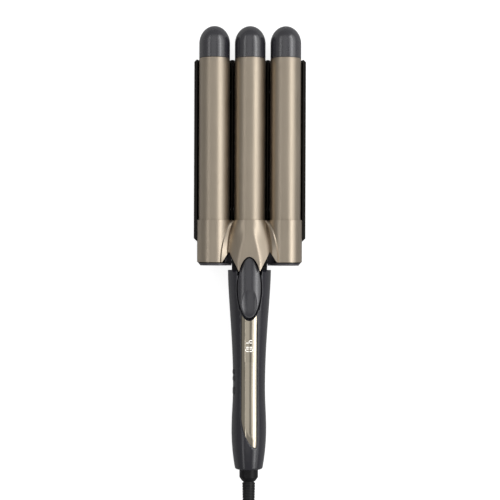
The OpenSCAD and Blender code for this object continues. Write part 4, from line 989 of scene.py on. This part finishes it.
def push_button(name, node, y, length, bars, ring=False):
    width, top = 3.6, handle_r(Y_HANDLE - y) + KEY_PROUD
    reach, n = length / 2 - width / 2, 16
    levels = [(0.5, 9.6), (0.5, 10.4), (0.0, 10.4), (0.0, top - 0.45)]
    for k in range(1, 5):
        a = math.pi / 2 * k / 4
        levels.append((-0.45 * (1 - math.cos(a)), top - 0.45 + 0.45 * math.sin(a)))
    levels += [(-0.9, top + 0.03), (-1.4, top + 0.05)]
    verts, faces = [], []
    for grow, h in levels:
        r = width / 2 + grow
        for end in (1, -1):
            for k in range(n + 1):
                a = math.pi * k / n + (0 if end > 0 else math.pi)
                verts.append(key_point(y, r * math.cos(a), end * reach + r * math.sin(a), h))
    m = 2 * (n + 1)
    for k in range(len(levels) - 1):
        for i in range(m):
            faces.append((k * m + i, k * m + (i + 1) % m, (k + 1) * m + (i + 1) % m, (k + 1) * m + i))
    faces += [tuple(range(m - 1, -1, -1)), tuple(range((len(levels) - 1) * m, len(levels) * m))]
    body = mesh_object(name, verts, faces)
    marks = []
    for u, v, du, dv in bars:
        box = [key_point(y, u + su * du / 2, v + sv * dv / 2, top + h)
               for su in (-1, 1) for sv in (-1, 1) for h in (-0.05, 0.14)]
        marks.append(mesh_object("mark", box, BOX_FACES))
    if ring:
        pts, fcs, k_all = [], [], 20
        for k in range(k_all + 1):
            a = math.radians(mix(125, 415, k / k_all))
            for r, h in ((0.72, -0.05), (1.0, -0.05), (1.0, 0.14), (0.72, 0.14)):
                pts.append(key_point(y, r * math.sin(a), r * math.cos(a), top + h))
        for k in range(k_all):
            fcs += [(k * 4 + i, k * 4 + (i + 1) % 4, k * 4 + 4 + (i + 1) % 4, k * 4 + 4 + i)
                    for i in range(4)]
        fcs += [(0, 1, 2, 3), (k_all * 4 + 3, k_all * 4 + 2, k_all * 4 + 1, k_all * 4)]
        marks.append(mesh_object("mark", pts, fcs))
    obj = joined(node + "_cap", [body] + marks)
    shade(obj, 35)
    return fit(obj, FINISH["key_plastic"], node)


push_button("plus_key", "plus_button", Y_PLUS, 4.4, [(0, 0, 1.7, 0.34), (0, 0, 0.34, 1.7)])
push_button("minus_key", "minus_button", Y_MINUS, 4.4, [(0, 0, 0.34, 1.7)])
push_button("power_key", "power_button", Y_POWER, 6.6, [(0.75, 0, 0.9, 0.3)], ring=True)


# ---- Cord swivel, strain relief and what the cord carries ----

collar_line = rounded([
    (0, -10.1), (5.3, -10.1), (7.6, -6.8), (7.6, 0), (5.0, 0), (5.0, 2.4), (7.0, 2.4), (7.0, 4.0), (5.0, 4.0),
    (5.0, 6.6), (4.0, 6.6), (4.0, 14.4), (0, 14.4)], 0.5)
collar = lathe("swivel_collar_turned", [(r, s) for r, s in collar_line],
               (0, Y_END - 0.1, HANDLE_Z))
shade(collar, 30)
fit(collar, FINISH["black_plastic"], "swivel_collar")


def strain_relief_tree():
    """A tapered sleeve with a rib at every step of its length."""
    t = Tree("strain_relief", {"Length": 0.05, "Start Radius": 0.0053, "End Radius": 0.0042,
                               "Core Inset": 0.0009, "Rib Pitch": 0.0022, "Rib Width": 0.0013, "Ribs": 21})
    s = t.size
    core = t.add("GeometryNodeMeshCone", {
        "Vertices": 48, "Side Segments": 8,
        "Radius Top": t.math("SUBTRACT", s["Start Radius"], s["Core Inset"]),
        "Radius Bottom": t.math("SUBTRACT", s["End Radius"], t.times(s["Core Inset"], 0.4)),
        "Depth": s["Length"]})
    sleeve = t.moved(core.outputs[0], Translation=t.xyz(0.0, 0.0, t.times(s["Length"], -1.0)))
    section = t.add("GeometryNodeCurvePrimitiveQuadrilateral", {"Width": 0.24, "Height": s["Rib Width"]})
    circle = t.add("GeometryNodeCurvePrimitiveCircle", {"Resolution": 48, "Radius": 0.88})
    rib = t.swept(circle, section)
    start = t.xyz(0.0, 0.0, t.times(s["Rib Pitch"], -1.0))
    places = t.add("GeometryNodeMeshLine", {"Count": s["Ribs"], "Start Location": start, "Offset": start})
    index = t.add("GeometryNodeInputIndex")
    share = t.math("DIVIDE", t.times(t.math("ADD", index.outputs[0], 1.0), s["Rib Pitch"]), s["Length"])
    radius = t.span(share, 0.0, 1.0, s["Start Radius"], s["End Radius"])
    scale = t.xyz(radius, radius, 1.0)
    ribs = t.add("GeometryNodeInstanceOnPoints", {
        "Points": places.outputs[0], "Instance": rib, "Scale": scale})
    t.end(t.moved(t.together(sleeve, ribs.outputs[0]), Rotation=(-math.pi / 2, 0, 0),
                  Translation=(0, Y_COLLAR * MM, HANDLE_Z * MM)))
    return t


relief = strain_relief_tree().make("strain_relief_sleeve", FINISH["cord_rubber"], Length=50 * MM)
tidy_mesh(relief)
shade(relief, 40)
fit(relief, FINISH["cord_rubber"], "strain_relief")


def plug_shell():
    rings, steps, verts, faces = [], 48, [], []
    for k in range(41):
        y = PLUG_LEN * k / 40
        u = smooth(min(y / 12.0, 1))
        a, b, power = mix(4.1, 12.0, u), mix(4.1, 7.0, u), mix(2.0, 4.5, u)
        if 15 < y < 30:
            a -= 0.5 * (1 - math.cos(2 * math.pi * (y - 15) / 3.0)) / 2
        if y > PLUG_LEN - 1.2:
            cut = 1.0 - math.sqrt(max(0, 1 - ((y - PLUG_LEN + 1.2) / 1.2) ** 2)) if y < PLUG_LEN else 1.0
            a, b = a - cut, b - cut
        rings.append((y, a, b, power))
    for y, a, b, power in rings:
        for i in range(steps):
            t = 2 * math.pi * i / steps
            c, s = math.cos(t), math.sin(t)
            verts.append((PLUG_AT[0] + math.copysign(abs(c) ** (2 / power), c) * a, PLUG_AT[1] + y,
                          PLUG_AT[2] + math.copysign(abs(s) ** (2 / power), s) * b))
    for k in range(len(rings) - 1):
        for i in range(steps):
            j = (i + 1) % steps
            faces.append((k * steps + i, k * steps + j, (k + 1) * steps + j, (k + 1) * steps + i))
    faces += [tuple(range(steps)), tuple(range(len(verts) - 1, len(verts) - 1 - steps, -1))]
    obj = mesh_object("plug_shell", verts, faces)
    shade(obj, 40)
    return fit(obj, FINISH["black_plastic"], "plug_body")


def plug_blades():
    parts = []
    for side in (-1, 1):
        x, y, z = PLUG_AT[0] + side * 6.35, PLUG_AT[1] + PLUG_LEN, PLUG_AT[2]
        outline = [(-3.175, 0), (3.175, 0), (3.175, 14.6), (2.2, 16), (-2.2, 16), (-3.175, 14.6)]
        verts = [(x + h, y + v, z + u) for h in (-0.75, 0.75) for u, v in outline]
        faces = [tuple(range(6)), tuple(range(11, 5, -1))] + [
            (k, (k + 1) % 6, 6 + (k + 1) % 6, 6 + k) for k in range(6)]
        parts.append(mesh_object("blade", verts, faces))
    obj = joined("plug_blade_pair", parts)
    shade(obj, 30)
    bevel(obj, 0.2, 2)
    return fit(obj, FINISH["steel"], "plug_blades")


def cord_tie():
    """A strap over the coil's turns, with its head on top."""
    y0, y1, top = COIL[1] + 18.15, COIL[1] + 51.85, 13.7
    line = rounded([(y0, 0.1), (y0, top), (y1, top), (y1, 0.1)], 3.0, 8)
    verts, faces = [], []
    for i, (y, z) in enumerate(line):
        a = Vector(line[max(i - 1, 0)])
        b = Vector(line[min(i + 1, len(line) - 1)])
        t = (b - a).normalized()
        out = Vector((-t.y, t.x)) * 0.45
        for x in (-1.9, 1.9):
            verts += [(COIL[0] + x, y - out.x, z - out.y), (COIL[0] + x, y + out.x, z + out.y)]
    for i in range(len(line) - 1):
        p, q = i * 4, i * 4 + 4
        faces += [(p, p + 1, q + 1, q), (p + 1, p + 3, q + 3, q + 1), (p + 3, p + 2, q + 2, q + 3),
                  (p + 2, p, q, q + 2)]
    faces += [(0, 2, 3, 1), (len(verts) - 4, len(verts) - 3, len(verts) - 1, len(verts) - 2)]
    strap = mesh_object("strap", verts, faces)
    hx, hy, cz = 2.9, 3.2, top + 0.1
    box = [(COIL[0] + sx * hx, (y0 + y1) / 2 + sy * hy, z) for sx in (-1, 1) for sy in (-1, 1)
           for z in (cz - 0.2, cz + 0.9)]
    head = mesh_object("head", box, BOX_FACES)
    obj = joined("cord_tie_strap", [strap, head])
    shade(obj, 40)
    bevel(obj, 0.15, 2)
    return fit(obj, FINISH["black_plastic"], "cable_tie")


fit(cord, FINISH["cord_rubber"], "cord_lead", "cord_coil", "cord_tail")
plug_shell()
plug_blades()
cord_tie()


# ---- Studio ----

def backdrop():
    floor = mesh_object("studio_floor", [(-6, -6, 0), (6, -6, 0), (6, 6, 0), (-6, 6, 0)], [(0, 1, 2, 3)],
                        scale=1)
    if floor.data.polygons[0].normal.z < 0:
        floor.data.flip_normals()
    white = bpy.data.materials.new("studio_paper")
    white.use_nodes = True
    w = Wires(white.node_tree)
    shader = white.node_tree.nodes["Principled BSDF"]
    shader.inputs["Base Color"].default_value = (0.42, 0.42, 0.42, 1)
    shader.inputs["Roughness"].default_value = 0.9
    seen = w.add("ShaderNodeLightPath").outputs
    direct = w.math("MAXIMUM", seen["Is Camera Ray"], w.math(
        "MAXIMUM", seen["Is Glossy Ray"], seen["Is Transmission Ray"]))
    glow = w.math("ADD", w.times(direct, 0.1), w.times(seen["Is Camera Ray"], 0.75))
    shader.inputs["Emission Color"].default_value = (1, 1, 1, 1)
    white.node_tree.links.new(glow, shader.inputs["Emission Strength"])
    floor.data.materials.append(white)


def softbox(name, side, lean, half_angle, brightness, distance=1.8, length=3.0):
    """A long rectangular lamp beside the tool: side is its angle from overhead toward +X, lean its
    tilt toward the tips, half_angle how much of the sky it fills, all in degrees."""
    lamp = bpy.data.lights.new(name, "AREA")
    lamp.shape = "RECTANGLE"
    lamp.size = 2 * distance * math.tan(math.radians(half_angle))
    lamp.size_y = length
    lamp.energy = brightness * math.pi * lamp.size * lamp.size_y
    obj = placed(name, lamp)
    turn, tilt = math.radians(side), math.radians(lean)
    back = Vector((math.sin(turn) * math.cos(tilt), math.sin(tilt), math.cos(turn) * math.cos(tilt)))
    along = (Vector((0, 1, 0)) - back * back.y).normalized()
    obj.location = Vector((0, 0.05, 0.02)) + back * distance
    obj.rotation_euler = Matrix((along.cross(back), along, back)).transposed().to_euler()


backdrop()
softbox("key_wide", 50, 6, 24, 1.05)
softbox("key_core", 45, 6, 6, 2.9)
softbox("edge_left", -41, 4, 5, 1.7)
softbox("top_left", -6, 12, 19, 0.45, length=2.8)

world = bpy.data.worlds.new("studio_air")
bpy.context.scene.world = world
world.use_nodes = True
world.node_tree.nodes["Background"].inputs["Color"].default_value = (1, 1, 1, 1)
world.node_tree.nodes["Background"].inputs["Strength"].default_value = 0.32

bpy.context.scene.view_settings.view_transform = "Standard"
